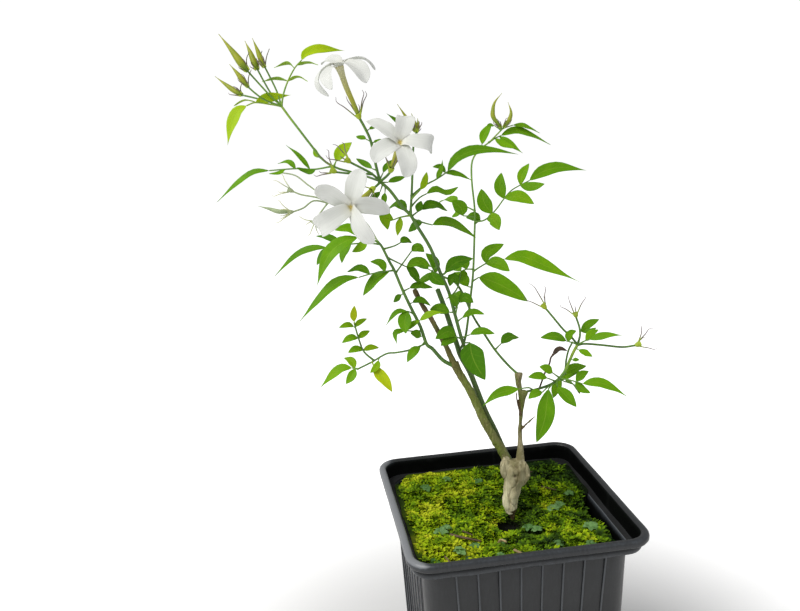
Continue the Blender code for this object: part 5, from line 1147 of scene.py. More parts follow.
def make_right_shoot():
    """The low shoot on the right with its rosette of leaves and three open calyces."""
    s = Sprig("right_shoot", 87, tone=0.49)
    knot = (33, 83.5, 11)
    s.stem([(7.3, 60.2, 11.1), (14, 61.8, 11), (20, 64, 10), (24, 67, 10), (27, 71, 10.4), (29, 75.5, 10.6),
        (31, 80, 11), knot], 1.2, 1.5, tone=(0.3, 0.95))
    s.stem([(27, 71, 10.4), (27.4, 76, 6.6), (28.6, 81, 6), (30.6, 85, 6)], 1.0, 0.9)
    s.stem([knot, (29.4, 88, 12), (26, 91, 12.6), (21, 97, 13), (17.4, 101.3, 13.4)], 1.1, 1.0)
    s.calyx((17.4, 101.3, 13.4), (15.8, 103.4, 13.6), [(9, 114, 16), (16.5, 112.5, 11), (6.5, 107.5, 12)])
    s.stem([knot, (34.2, 88, 9), (34, 92, 8), (32.4, 97, 7)], 1.1, 1.0)
    s.calyx((32.4, 97, 7), (31.8, 99.4, 7), [(28.6, 108, 9), (24.5, 103.5, 4), (36.5, 108, 5)])
    s.stem([knot, (37, 84, 12), (45, 83.4, 13), (55, 82.4, 14), (61.5, 83.2, 14)], 1.1, 1.0)
    s.calyx((61.5, 83.2, 14), (64, 84, 14), [(65.5, 93, 16), (70.5, 91.5, 12), (72.5, 82, 15)])
    # leaves of the node above
    s.leaf([(33.5, 85.5, 10.4), (34.6, 90.4, 5)],
        [(4.2, -4, (34.6, 90.4), (39, 94), (43.8, 96.2)), (2.8, 3, (34.6, 90), (38.6, 90.2), (42.6, 92))])
    s.leaf([(32.4, 83.8, 11), (27.5, 85.4, 14)],
        [(5.2, 3, (27.5, 85.4), (22, 87.6), (14.5, 87)), (4.0, 1, (29, 85), (29, 89), (32.5, 90.5))])
    s.leaf([knot, (36.5, 85.4, 15), (39, 86, 17)],
        [(4.0, 3, (39, 86), (44, 87.6), (49, 88.4), (55.6, 88.2)),
         (3.6, -2, (37.5, 85.6), (39.5, 89), (43.5, 91))])
    s.simple([(32, 82, 11), (33.5, 81, 14)], 3.8, 2, (36.5, 79.6), (40.5, 77.6), stalk=0.8)
    s.simple([(29.4, 76.4, 10.6), (30.4, 76, 13)], 2.4, 1, (34, 76), stalk=0.7)
    # rosette
    s.leaf([(24, 67, 10), (30, 65.8, 13), (35.5, 64.2, 15)],
        [(5.6, 3, (35.5, 64.2), (43, 64.8), (51, 61.8), (58, 57.5)),
         (4.4, -3, (32.5, 65.2), (35, 68.6), (38.6, 70.5)), (4.2, 3, (32, 65.3), (35, 61.6), (39.5, 59.5))])
    s.simple([(25, 68.4, 10), (27.5, 69.4, 7)], 5.4, -5, (31.5, 72), (37.5, 73))
    s.simple([(22.5, 65.8, 10), (23, 62.6, 14)], 6.4, 5, (27, 58.4), (32.5, 52.6))
    s.simple([(24, 67.2, 10), (20.6, 69.6, 13)], 4.8, 3, (18, 71.4), (14, 72.6))
    s.simple([(22, 65.6, 10), (18, 67, 14)], 4.4, 2, (13.5, 68), (8.4, 67.4))
    s.simple([(20.6, 64.4, 10), (18.6, 61.6, 14)], 9.0, 5, (17.6, 54), (16.5, 46), (12.6, 35), tilt=10)
    s.simple([(19.4, 63.6, 10), (15.6, 60, 15)], 4.6, 2, (12, 59.2), (8.6, 56.6))
    s.simple([(11, 61, 11.2), (8.6, 62.2, 15.5), (4, 61.6, 18)], 5.4, 2, (-2, 60.6), (-8, 58.4),
        (-14.5, 52.6))
    s.leaf([(23, 66, 10), (25, 66, 3), (27, 65, -3)],
        [(6.4, -12, (27, 65), (31, 64), (34, 59)), (5.0, -3, (25.6, 65.6), (29, 69), (34, 70.5)),
         (5.0, -2, (25.6, 65.6), (22.6, 62), (21, 57))], tilt=55)
    s.finish()


def make_dead_shoot():
    """The dark dry twig beside the rosette, with one withered leaflet."""
    s = Sprig("dead_shoot", 97, tone=0.1)
    s.stem([(14.1, 62.0, 10.8), (17, 70, 7), (19, 74, 6), (20, 77.5, 6), (23, 80, 6)], 0.9, 0.9, tone=0.15)
    s.simple([(19.8, 77, 6), (20.6, 79, 5)], 2.6, -1, (24, 81.6), (28, 80.5), stalk=0.7)
    piece("dead_shoot_twig", s.stems, "twig", "dead_shoot")
    piece("dead_shoot_leaf", s.leaves, "twig", "dead_shoot")


# Flowers

BLOOMS = (
    # name, tube points, petals as (width, cup, curl, widest at, route after the throat)
    ("bloom_top", [(-76.2, 198.6, 48.4), (-79, 205, 49.5), (-82, 212, 51), (-85.2, 221.5, 53)], [
        (9.6, 0.30, 0.5, 0.5, [(-82.6, 223.6, 55), (-78.4, 222.4, 58), (-74.6, 219.4, 60),
         (-71.8, 213.4, 60.6)]),
        (7.0, 0.34, -0.5, 0.45, [(-88, 223, 53), (-93.4, 219.4, 52.4), (-95.6, 213.6, 52),
         (-90.4, 206.8, 51)]),
        (8.4, 0.30, 0.3, 0.45, [(-87.4, 222, 56), (-90.6, 219.4, 60), (-91, 215.6, 63.4),
         (-88.8, 210.2, 65)]),
        (6.4, 0.26, 1.1, 0.5, [(-82.6, 224.4, 51.5), (-77.5, 225.4, 48), (-72, 224.8, 45),
         (-67.4, 219.8, 43.6)]),
        (8.0, 0.24, -0.3, 0.5, [(-86.8, 224.2, 51.5), (-89.5, 225, 47.5), (-92.2, 224.4, 43),
         (-94.2, 222.4, 41)]),
    ]),
    ("bloom_middle", [(-59.1, 172, 51.4), (-58, 175, 52.5), (-56.5, 180, 54), (-55.2, 184.2, 58.5)], [
        (9.4, 0.18, 0.2, 0.55, [(-57.2, 186.4, 59.6), (-61.8, 190.2, 59.8), (-67, 193.4, 58.6),
         (-71.8, 194.6, 56.6)]),
        (9.6, 0.22, -0.5, 0.62, [(-54.8, 187.4, 59.2), (-53.4, 191.8, 58.6), (-52.4, 195.6, 56.4),
         (-52.6, 197, 52.4)]),
        (9.4, 0.16, 0.35, 0.74, [(-52.2, 185, 59.6), (-47, 184.6, 60.2), (-42.4, 184, 59.4),
         (-39.4, 182.8, 57.4), (-40.6, 180.6, 54)]),
        (9.8, 0.20, 0.2, 0.52, [(-54.2, 181.6, 60), (-52.4, 177, 62.2), (-51.2, 172, 63),
         (-52.8, 166.6, 62.2)]),
        (9.6, 0.20, -0.2, 0.5, [(-57.6, 183.4, 60), (-61.8, 181.6, 62.2), (-65.8, 178.8, 63),
         (-67.8, 173.8, 62.4)]),
    ]),
    ("bloom_left", [(-69.9, 159.8, 47.2), (-73, 157, 49.5), (-76.5, 154.3, 52.5), (-79.8, 151.7, 58.5)], [
        (10.4, 0.18, 0.12, 0.56, [(-79.2, 154, 59.6), (-77.8, 160, 60.8), (-76.2, 166, 60.6),
         (-74.6, 170.9, 59)]),
        (10.6, 0.16, -0.2, 0.58, [(-82, 153.4, 59.6), (-86.6, 156.8, 60.8), (-92, 159.2, 60.4),
         (-97.6, 158.2, 58.4)]),
        (11.0, 0.22, 0.3, 0.7, [(-82, 150.2, 59.8), (-87, 147.4, 61.4), (-91.6, 144.2, 61.8),
         (-95.2, 141.6, 60.4), (-94.6, 140, 57)]),
        (10.8, 0.20, -0.12, 0.58, [(-78.2, 149.4, 60), (-75.8, 144.8, 61.8), (-72.8, 139.4, 62.4),
         (-68.2, 133.6, 61)]),
        (9.2, 0.20, 0.25, 0.5, [(-77.6, 152.2, 59.8), (-72.4, 153, 60.8), (-66.2, 152.2, 60.4),
         (-60.0, 149.2, 58.4)]),
    ]),
)


def make_bloom(name, tube_points, petals):
    """An open flower: a slim tube that opens into a hollow throat, and five soft petals."""
    line = spline([place(*p) for p in tube_points], 6)
    last = len(line) - 1
    widths = [1.9 + 0.9 * (k / last) ** 1.3 for k in range(last + 1)]
    widths[-3:] = [2.9, 3.3, 3.9]
    tones = [0.9 * k / last for k in range(last + 1)]
    skin = Skin()
    axis = (line[-1] - line[-2]).normalized()
    # the rim turns in and goes back down the throat
    inner = [line[-1] - axis * (d * MM) for d in (0.15, 0.8, 2.0, 3.4)]
    tube(skin, line + inner, widths + [3.2, 2.4, 1.7, 0.8], sides=16, tone=tones + [0.98, 1.0, 1.0, 0.9],
         flutes=5, depth=0.04)
    for turn in (0.4, 3.3):
        side = Matrix.Rotation(turn, 3, axis) @ axis.orthogonal().normalized()
        spots = [line[-1] + axis * (d * MM) + side * 0.45 * MM for d in (-2.6, -1.0, 0.2)]
        tube(skin, spots, [0.5, 0.8, 0.5], sides=8, tone=1.0)
    piece(name + "_tube", skin, "tube", name)
    nodding = name == "bloom_top"
    white = Skin()
    for index, (width, cup, curl, peak, points) in enumerate(petals):
        throat = line[-1] - axis * (0.9 * MM)
        first = place(*points[0])
        route = spline([throat.lerp(first, 0.18), *[place(*p) for p in points]], 6)
        wide = width * shrink(points[-1][2]) * MM
        # the nodding flower's petals get tone, which greys them: painted shade
        blade(white, route, (route[1] - route[0]).cross(axis), lambda s: wide * petal_share(s, peak),
              fold=cup, tone=0.2 if nodding else 0.0, rows=22, wave=0.05, phase=0.31 * index, cols=12,
              thick=PETAL_THICK, curl=curl)
    piece(name + "_petals", white, "nodding" if nodding else "petal", name)


# Growing repeated things with geometry nodes

def grown(name, start, tree, values):
    """The plain mesh that a geometry node tree grows from a starting mesh."""
    base = linked(name, start)
    step = base.modifiers.new("Grow", "NODES")
    step.node_group = tree
    sockets = {item.name: item.identifier for item in tree.interface.items_tree if item.in_out == "INPUT"}
    for label, value in values.items():
        step[sockets[label]] = value
    return evaluated(base, name)


def growing_tree(name, inputs):
    """A geometry node tree with these named inputs."""
    inputs = {"Geometry": None, **inputs}
    return group_tree(name, "GeometryNodeTree", inputs, ("Geometry",), "NodeSocketGeometry")


def moved(tree, geometry, **how):
    """The geometry turned, moved or scaled."""
    return add_node(tree, "GeometryNodeTransform", {"Geometry": geometry, **how}).outputs["Geometry"]


def closed(tree, geometry, material, out):
    """Ends a tree: its instances become a plain mesh with this material."""
    real = add_node(tree, "GeometryNodeRealizeInstances", {"Geometry": geometry}).outputs["Geometry"]
    done = add_node(tree, "GeometryNodeSetMaterial", {"Geometry": real, "Material": material})
    tree.links.new(done.outputs["Geometry"], out["Geometry"])


# Pot

POT_PROFILE = (
    # half width, corner radius, height in mm, greyed wear (past 0.9 also a painted sheen), grime (with
    # painted shade under the rim's band, in the groove above it and inside)
    (42.0, 8.4, 0.0, 0.3, 0.3), (42.8, 9.0, 0.2, 0.5, 0.2), (43.3, 9.4, 1.0, 0.45, 0.1),
    (43.5, 9.4, 3.5, 0.12, 0.0), (44.2, 9.6, 22, 0.06, 0.0), (44.9, 9.8, 42, 0.05, 0.0),
    (45.6, 10.0, 61, 0.05, 0.0), (46.3, 10.2, 80, 0.06, 0.0), (46.8, 10.3, 94, 0.12, 0.0),
    (47.2, 10.4, 104, 0.2, 0.0), (47.5, 10.4, 109.6, 0.2, 0.2), (47.9, 10.2, 111.3, 0.1, 0.6),
    (49.4, 9.9, 111.6, 0.1, 0.5), (51.6, 9.6, 111.8, 0.3, 0.1), (52.6, 9.7, 112.4, 0.9, 0.0),
    (52.9, 9.8, 113.6, 0.7, 0.0), (52.6, 9.7, 114.8, 0.25, 0.1), (51.9, 9.5, 115.5, 0.0, 1.0),
    (52.1, 9.5, 115.95, 0.0, 1.0), (53.4, 10.0, 116.0, 0.1, 0.5), (54.4, 10.4, 116.25, 0.4, 0.0),
    (54.9, 10.8, 117.0, 0.35, 0.0), (55.0, 11.0, 118.0, 0.3, 0.0), (54.85, 11.0, 118.9, 0.5, 0.0),
    (54.35, 10.6, 119.6, 0.9, 0.0), (53.6, 10.0, 119.95, 0.5, 0.0), (52.8, 9.4, 120.0, 0.3, 0.0),
    (52.1, 8.8, 119.7, 0.3, 0.0), (51.6, 8.4, 119.0, 0.2, 0.1), (51.3, 8.2, 118.0, 0.0, 0.5),
    (51.1, 8.2, 116.5, 0.0, 1.0), (50.7, 8.2, 112.6, 0.0, 1.0), (50.4, 8.2, 111.6, 0.0, 1.0),
    (49.0, 8.2, 111.1, 0.0, 1.0), (47.6, 8.2, 110.95, 1.5, 0.0), (46.9, 8.2, 110.5, 0.8, 0.1),
    (46.3, 8.2, 108.5, 0.0, 1.0), (45.9, 8.2, 101, 0.0, 1.0), (44.2, 8.2, 55, 0.0, 1.0),
    (42.2, 8.2, 5, 0.0, 1.0), (41.6, 8.2, 2.6, 0.0, 1.0), (40.0, 8.0, 2.4, 0.0, 1.0),
)
LIP_ROWS = 28
CORNER_STEPS = 8
SIDE_STEPS = 14


def square_ring(half, radius, z):
    """A rounded square outline at height z, in millimetres, with points along its sides."""
    ring = []
    for corner in range(4):
        first = math.radians(90 * corner)
        middle = Vector((math.cos(first + math.pi / 4), math.sin(first + math.pi / 4)))
        centre = middle * (half - radius) * math.sqrt(2)
        arc = [
            Vector((centre.x + radius * math.cos(first + math.pi / 2 * k / CORNER_STEPS),
                    centre.y + radius * math.sin(first + math.pi / 2 * k / CORNER_STEPS), z))
            for k in range(CORNER_STEPS + 1)
        ]
        if ring:
            ring += [ring[-1].lerp(arc[0], k / SIDE_STEPS) for k in range(1, SIDE_STEPS)]
        ring += arc
    ring += [ring[-1].lerp(ring[0], k / SIDE_STEPS) for k in range(1, SIDE_STEPS)]
    return ring


def warped(spot):
    """Thin moulded walls are never quite flat: a slow wave, and one dent under the front band."""
    wave = noise.noise(Vector((spot.x * 0.03, spot.y * 0.03, spot.z * 0.02 + 3.1)))
    ripple = noise.noise(Vector((spot.x * 0.11, spot.y * 0.11, spot.z * 0.05)))
    keep = min(1.0, spot.z / 12)
    out = Vector((spot.x, spot.y, 0)).normalized()
    spot = spot + out * ((0.35 * wave + 0.14 * ripple) * keep)
    spot.z += 0.35 * wave * (1 if spot.z > 112 else 0)
    if 111.4 < spot.z < 115.4 and abs(spot.x) + abs(spot.y) > 52:
        spot.z += 0.5 * noise.noise(Vector((spot.x * 0.09, spot.y * 0.09, 8.0)))
        spot += out * (0.6 * noise.noise(Vector((spot.x * 0.07, spot.y * 0.07, 1.0))))
    dent = math.exp(-(((spot.x + 12) / 4.5) ** 2) - ((spot.z - 106) / 5.5) ** 2) if spot.y < -40 else 0.0
    spot.y += 1.0 * dent
    return spot


def wall_half(z):
    """Half the width across the pot's faces at height z."""
    return BASE_HALF + (WALL_TOP_HALF - BASE_HALF) * z / WALL_TOP


def make_pot():
    """The pot's shell from its profile, closed by its floor: the outside over the lip, and the inside."""
    rings = [square_ring(half, radius, z) for half, radius, z, _, _ in POT_PROFILE]
    size = len(rings[0])
    points = [warped(spot) * MM for ring in rings for spot in ring]
    # painted sheen: tone is raised along the top of the lip's left side, greying it to a light reflection
    wear_and_sheen = [
        w + 1.7 * smooth(-spot.x, 44, 51) * smooth(spot.z, 117.5, 119.3)
        for ring, (_, _, _, w, _) in zip(rings, POT_PROFILE) for spot in ring
    ]
    # grime, and painted shade under the rim's band, in the groove above it and inside
    grime_and_shade = [g for _, _, _, _, g in POT_PROFILE for _ in range(size)]
    walls = between_rings(len(rings), size)
    cut = LIP_ROWS * size
    low = (len(rings) - 1) * size
    for name, look_name, faces in (
        ("pot_shell", "plastic", [tuple(reversed(range(size))), *walls[:cut]]),
        ("pot_inside", "inside", [tuple(range(low, low + size)), *walls[cut:]]),
    ):
        skin = Skin()
        skin.add(points, faces, tone=wear_and_sheen, under=grime_and_shade)
        piece(name, skin, look_name, "pot")


def make_ribs():
    """Thin upright ribs on the pot's four faces, leaning with them and closer together at the foot."""
    tree, given, out = growing_tree("wall ribs", {
        "Pitch": RIB_PITCH * MM, "Width": RIB_WIDTH * MM, "Depth": RIB_DEPTH * MM,
        "Length": RIB_LENGTH * MM, "Middle": RIB_MIDDLE * MM, "Out": wall_half(RIB_MIDDLE) * MM,
        "Lean": RIB_LEAN, "Converge": RIB_SPREAD})
    first = vector(tree, times(tree, given["Pitch"], -0.5 * (RIBS_A_FACE - 1)))
    row = add_node(tree, "GeometryNodeMeshLine", {
        "Count": RIBS_A_FACE, "Start Location": first, "Offset": vector(tree, given["Pitch"])})
    half = times(tree, given["Length"], 0.5)
    rod = add_node(tree, "GeometryNodeCurvePrimitiveLine", {
        "Start": vector(tree, z=times(tree, half, -1.0)), "End": vector(tree, z=half)}).outputs["Curve"]
    rod = add_node(tree, "GeometryNodeResampleCurve", {"Curve": rod, "Count": 10}).outputs["Curve"]
    radius = times(tree, given["Width"], 0.5)
    outline = add_node(tree, "GeometryNodeCurvePrimitiveCircle", {
        "Resolution": 10, "Radius": radius}).outputs["Curve"]
    rib = add_node(tree, "GeometryNodeCurveToMesh", {
        "Curve": rod, "Profile Curve": outline, "Fill Caps": True}).outputs["Mesh"]
    rib = moved(tree, rib, Scale=vector(tree, 1.0, maths(tree, "DIVIDE", given["Depth"], radius), 1.0))
    where = add_node(tree, "GeometryNodeInputPosition").outputs[0]
    across = add_node(tree, "ShaderNodeSeparateXYZ", {"Vector": where}).outputs["X"]
    lean = vector(tree, y=times(tree, across, given["Converge"]))
    ribs = add_node(tree, "GeometryNodeInstanceOnPoints", {
        "Points": row.outputs["Mesh"], "Instance": rib, "Rotation": lean}).outputs["Instances"]
    ribs = moved(tree, ribs, Rotation=vector(tree, given["Lean"]),
                 Translation=vector(tree, y=times(tree, given["Out"], -1.0), z=given["Middle"]))
    sides = add_node(tree, "GeometryNodeJoinGeometry")
    for face in range(4):
        tree.links.new(moved(tree, ribs, Rotation=(0.0, 0.0, face * math.pi / 2)), sides.inputs["Geometry"])
    closed(tree, sides.outputs["Geometry"], LOOKS["rib"], out)
    mesh = grown("pot_ribs", bpy.data.meshes.new("pot_ribs_start"), tree, {"Width": RIB_WIDTH * MM})
    stored(mesh, tone=[RIB_RUB_AND_SHEEN] * len(mesh.vertices))
    mesh.shade_smooth()
    piece("pot_ribs", mesh, "rib", "pot")


# Filling

CUSHIONS = [
    # middle x and y, radius, height in mm
    (-34, -26, 13, 5.0), (-14, -36, 12, 4.0), (8, -34, 10, 3.4), (30, -30, 13, 3.2),
    (-38, 4, 11, 4.4), (-18, -12, 11, 4.6), (24, -6, 12, 3.0), (-30, 28, 14, 4.6),
    (-6, 20, 12, 4.2), (18, 26, 13, 4.4), (34, 16, 9, 2.8), (4, 38, 10, 3.2), (-12, 38, 8, 3.0),
]
MOSS_CELLS = 110
SHOOT_CELLS = 60


def moss_bank(x, y):
    """How much higher the moss stands towards the back, the left wall and the back right, in mm."""
    back = smooth(y, 2, 44)
    left = smooth(-x, 24, 45) * smooth(y, -36, -18)
    right = smooth(x, 26, 45) * smooth(y, -4, 12)
    return BANK_RISE * (1 - (1 - back) * (1 - left) * (1 - right))


def moss_height(x, y):
    """The moss's top over (x, y), in mm: low ground with round cushions, open round the trunk."""
    top = 0.9 * math.sin(0.31 * x + 0.8) * math.cos(0.27 * y - 0.4)
    for at_x, at_y, radius, rise in CUSHIONS:
        away = math.hypot(x - at_x, y - at_y) / radius
        if away < 1:
            top = max(top, rise * math.sqrt(1 - away * away) * 0.85)
    tuft = noise.noise(Vector((x * 0.30, y * 0.30, 0.7))) * 1.5
    tuft += noise.noise(Vector((x * 0.8, y * 0.8, 5.0))) * 0.6
    bank = moss_bank(x, y)
    top *= 1 - 0.7 * bank / BANK_RISE
    at_x, at_y, wide, deep, depth = HOLLOW
    hollow = depth * math.exp(-(((x - at_x) / wide) ** 2) - ((y - at_y) / deep) ** 4)
    return MOSS_TOP + top - 0.9 + tuft + bank - hollow


def on_ledge(x, y, z):
    """The height z over (x, y), or the top of the pot's ledge where the moss lies on it."""
    return max(z, LEDGE_TOP) if max(abs(x), abs(y)) > LEDGE_IN else z


def moss_edge(turn):
    """The distance from the middle to the moss's edge in this direction: a rounded square."""
    x = math.cos(turn)
    y = math.sin(turn)
    ragged = noise.noise(Vector((x * 4.0, y * 4.0, 2.0))) * 1.1
    left = smooth(-x, 0.6, 0.86) * smooth(y, -0.86, -0.68)
    right = smooth(x, 0.5, 0.8) * smooth(y, 0.05, 0.22)
    over = MOSS_OVER * max(left, smooth(y, 0.55, 0.8), right)
    retreat = 2.4 * math.exp(-((turn + 0.05) / 0.14) ** 2)
    half = MOSS_HALF + over - retreat + ragged * (0.3 + 0.4 * over / MOSS_OVER)
    square = half / max(abs(x), abs(y))
    return min(square, half * 1.28)


def make_moss_ground():
    """The moss carpet on the soil, with its edge turned down to the peat."""
    count = MOSS_CELLS + 1
    points = []
    tones = []
    shaded_lows = []
    for row in range(count):
        for col in range(count):
            s = 2 * col / MOSS_CELLS - 1
            t = 2 * row / MOSS_CELLS - 1
            reach = max(abs(s), abs(t))
            edge = moss_edge(math.atan2(t, s)) if reach else 0.0
            length = math.hypot(s, t) or 1.0
            x = s / length * edge * reach
            y = t / length * edge * reach
            z = on_ledge(x, y, moss_height(x, y) - 1.4 * reach**24)
            points.append(Vector((x, y, z)) * MM)
            # painted shade: the ground under the shoots is darkened, the more the lower it lies
            shaded_lows.append(min(1.0, 0.35 + max(0.0, (MOSS_TOP - 0.4 + moss_bank(x, y) - z) / 1.8)))
            tones.append(moss_tone(x, y) - 0.25)
    faces = []
    for row in range(MOSS_CELLS):
        for col in range(MOSS_CELLS):
            a = row * count + col
            faces.append((a, a + 1, a + count + 1, a + count))
    border = list(range(count))
    border += [row * count + count - 1 for row in range(1, count)]
    border += [(count - 1) * count + col for col in range(count - 2, -1, -1)]
    border += [row * count for row in range(count - 2, 0, -1)]
    # the edge lies on the pot's ledge in places, then goes down inside the wall
    size = len(border)
    upper = border
    for level in range(3):
        low = len(points)
        for k in border:
            spot = points[k]
            inside = min(1.0, LEDGE_IN * MM / max(abs(spot.x), abs(spot.y))) if level else 1.0
            rest = min(spot.z - 0.3 * MM, max(spot.z - 0.6 * MM, LEDGE_REST * MM))
            z = rest if level < 2 else MOSS_UNDER * MM
            points.append(Vector((spot.x * inside, spot.y * inside, z)))
            # painted shade: the edge that goes down inside the wall is dark
            tones.append(0.1)
            shaded_lows.append(1.0)
        for k in range(size):
            after = (k + 1) % size
            faces.append((upper[k], low + k, low + after, upper[after]))
        upper = [low + k for k in range(size)]
    faces.append(tuple(reversed(upper)))
    skin = Skin()
    skin.add(points, faces, tone=tones, under=shaded_lows, along=0.35)
    piece("moss_ground", skin, "moss", "moss")


def moss_tone(x, y):
    """How yellow the moss is here: bright on the left and the front, darker at the back right."""
    patch = noise.noise(Vector((x * 0.055, y * 0.055, 9.0)))
    fine = noise.noise(Vector((x * 0.2, y * 0.2, 4.0)))
    return bounded(0.56 - 0.0055 * x - 0.0012 * y + 0.40 * patch + 0.30 * fine)


def shoot_shape(name, blades, length, width, splay):
    """One small moss shoot: blunt cupped leaflets round a stalk."""
    chance = random.Random(5)
    points = []
    faces = []
    shares = []
    rows = ((0.0, 0.45), (0.4, 1.0), (0.78, 0.85), (1.0, 0.2))
    for k in range(blades):
        turn = 2 * math.pi * k / blades + chance.uniform(-0.3, 0.3)
        out = Vector((math.cos(turn), math.sin(turn), 0))
        side = Vector((-out.y, out.x, 0)) * (0.5 * width)
        long = length * chance.uniform(0.7, 1.1)
        low = len(points)
        for s, wide in rows:
            at = out * (splay * long * s**1.2) + Vector((0, 0, long * (s - 0.55 * s * s)))
            points += [at - side * wide, at + side * wide]
            shares += [s, s]
        for row in range(len(rows) - 1):
            a = low + 2 * row
            faces.append((a, a + 1, a + 3, a + 2))
    return stored(plain_mesh(name, [p * MM for p in points], faces), along=shares)


def scattered(name, start, shape, density, seed, low, high, material, tilt):
    """Copies of a small shape spread over a mesh, turned and scaled at random, as a plain mesh."""
    inputs = {"Density": density, "Smallest": low, "Largest": high, "Tilt": tilt}
    tree, given, out = growing_tree(name + " tree", inputs)
    spread = add_node(tree, "GeometryNodeDistributePointsOnFaces", {
        "Mesh": given["Geometry"], "Density": given["Density"], "Seed": seed})
    back = times(tree, given["Tilt"], -1.0)
    turn = add_node(tree, "FunctionNodeRandomValue", {
        0: vector(tree, back, back), 1: vector(tree, given["Tilt"], given["Tilt"], 6.28), "Seed": seed + 1},
        data_type="FLOAT_VECTOR")
    size = add_node(tree, "FunctionNodeRandomValue", {
        2: given["Smallest"], 3: given["Largest"], "Seed": seed + 2}, data_type="FLOAT")
    thing = add_node(tree, "GeometryNodeObjectInfo", {"Object": shape}).outputs["Geometry"]
    copies = add_node(tree, "GeometryNodeInstanceOnPoints", {
        "Points": spread.outputs["Points"], "Instance": thing,
        "Rotation": turn.outputs[0], "Scale": size.outputs[1]})
    shade = add_node(tree, "FunctionNodeRandomValue", {"Seed": seed + 3}, data_type="FLOAT")
    tinted = add_node(tree, "GeometryNodeStoreNamedAttribute", {
        "Geometry": copies.outputs["Instances"], "Name": "tint", "Value": shade.outputs[1]},
        data_type="FLOAT", domain="INSTANCE")
    closed(tree, tinted.outputs["Geometry"], material, out)
    return grown(name, start, tree, {"Density": density})


def moss_top(name):
    """A coarse copy of the moss's top for shoots to stand on, without the hole and the edge."""
    points = []
    index = {}
    for row in range(SHOOT_CELLS + 1):
        for col in range(SHOOT_CELLS + 1):
            x = 98 * (col / SHOOT_CELLS - 0.5)
            y = 98 * (row / SHOOT_CELLS - 0.5)
            room = moss_edge(math.atan2(y, x)) - math.hypot(x, y)
            inside = max(abs(x), -y / 0.985, y) < 44.2 or room > 2.0
            if inside and room > 0.3 and open_ground(x, y):
                index[row, col] = len(points)
                points.append(Vector((x, y, on_ledge(x, y, moss_height(x, y)) - 0.5)) * MM)
    faces = []
    for row in range(SHOOT_CELLS):
        for col in range(SHOOT_CELLS):
            corners = [(row, col), (row, col + 1), (row + 1, col + 1), (row + 1, col)]
            if all(c in index for c in corners):
                faces.append(tuple(index[c] for c in corners))
    return plain_mesh(name, points, faces)


def toned(mesh):
    """Gives each point of a moss mesh its tone, and darkens what lies low as painted shade."""
    tints = np.empty(len(mesh.vertices), np.float32)
    mesh.attributes["tint"].data.foreach_get("value", tints)
    tones = []
    shaded_lows = []
    for vertex, tint in zip(mesh.vertices, tints):
        x, y, z = vertex.co / MM
        tones.append(bounded(moss_tone(x, y) + 0.45 * (float(tint) - 0.5)))
        shaded_lows.append(0.9 * bounded((MOSS_TOP - 1.0 + moss_bank(x, y) - z) / 1.6))
    mesh.attributes.remove(mesh.attributes["tint"])
    return stored(mesh, tone=tones, under=shaded_lows)


def open_ground(x, y):
    """Where moss shoots stand: everywhere but in the hole at the foot of the trunk."""
    return math.hypot((x - HOLLOW[0]) / 5.4, (y - HOLLOW[1]) / 6.4) > 1.0


def make_moss_shoots():
    """Two kinds of shoots over the moss: fine upright ones and broader, splayed ones."""
    kinds = (
        # name, leaflets, their length and width in mm, splay, shoots a square metre, seed, scale range
        ("moss_shoots", 5, 1.9, 1.05, 0.85, 600000, 17, 0.5, 1.3),
        ("moss_sprays", 7, 3.3, 1.3, 1.0, 170000, 29, 0.5, 1.1),
    )
    for name, blades, length, width, splay, density, seed, low, high in kinds:
        shape = shoot_shape(name + "_shape", blades, length, width, splay)
        shape = bpy.data.objects.new(shape.name, shape)
        start = moss_top(name + "_start")
        mesh = scattered(name, start, shape, density, seed, low, high, LOOKS["moss"], tilt=0.55)
        bpy.data.objects.remove(shape)
        mesh.shade_smooth()
        piece(name, toned(mesh), "moss", "moss")


LOBES = (
    # liverwort: (x, y), turn in degrees, size in mm, tone
    ((-29, -33), 20, 4.2, 0.9), ((-25, -36), 140, 3.4, 0.75), ((-33, -12), 60, 4.0, 0.85),
    ((-30, -9), 200, 3.0, 0.7), ((-33, 27), 10, 3.6, 0.6), ((-20, 36), 80, 3.4, 0.7),
    ((-4, 31), 150, 3.2, 0.6), ((12, -17), 30, 3.6, 0.7), ((9, -14), 170, 3.0, 0.55),
    ((26, -2), 220, 4.0, 0.9), ((30, 1), 40, 3.4, 0.8), ((37, -22), 100, 4.6, 0.85),
    ((18, -31), 300, 3.2, 0.8), ((-6, -22), 45, 3.0, 0.55), ((-20, -26), 100, 2.8, 0.7),
    ((31, -38), 200, 3.2, 0.65), ((-41, -36), 320, 3.0, 0.5), ((6, -41), 80, 3.0, 0.75),
    ((38, 8), 10, 3.2, 0.6), ((-12, -40), 210, 2.6, 0.8),
)
STRAWS = (
    # bits of straw and twig on the moss: points (x, y, over the moss), width, tone
    ([(-30, -18, 2.4), (-24, -22.5, 3.0), (-17, -24, 2.4)], 1.3, 0.35),
    ([(-24, -17.5, 2.6), (-20, -21, 3.2)], 0.8, 0.2),
    ([(-5, -37, 2.4), (1, -41, 3.0), (6, -43.6, 2.8)], 1.3, 0.85),
    ([(-9, -24.5, 0.6), (-8.2, -27, 3.0), (-6.4, -30, 3.4)], 1.5, 0.95),
    ([(-36, -34, 1.0), (-35, -38, 2.4), (-35.6, -43, 3.4)], 0.8, 0.5),
    ([(27, 20, 1.2), (33, 14, 1.6)], 0.7, 0.25),
    ([(14, 30, 1.4), (20, 33, 1.2), (26, 32, 1.6)], 0.6, 0.3),
)


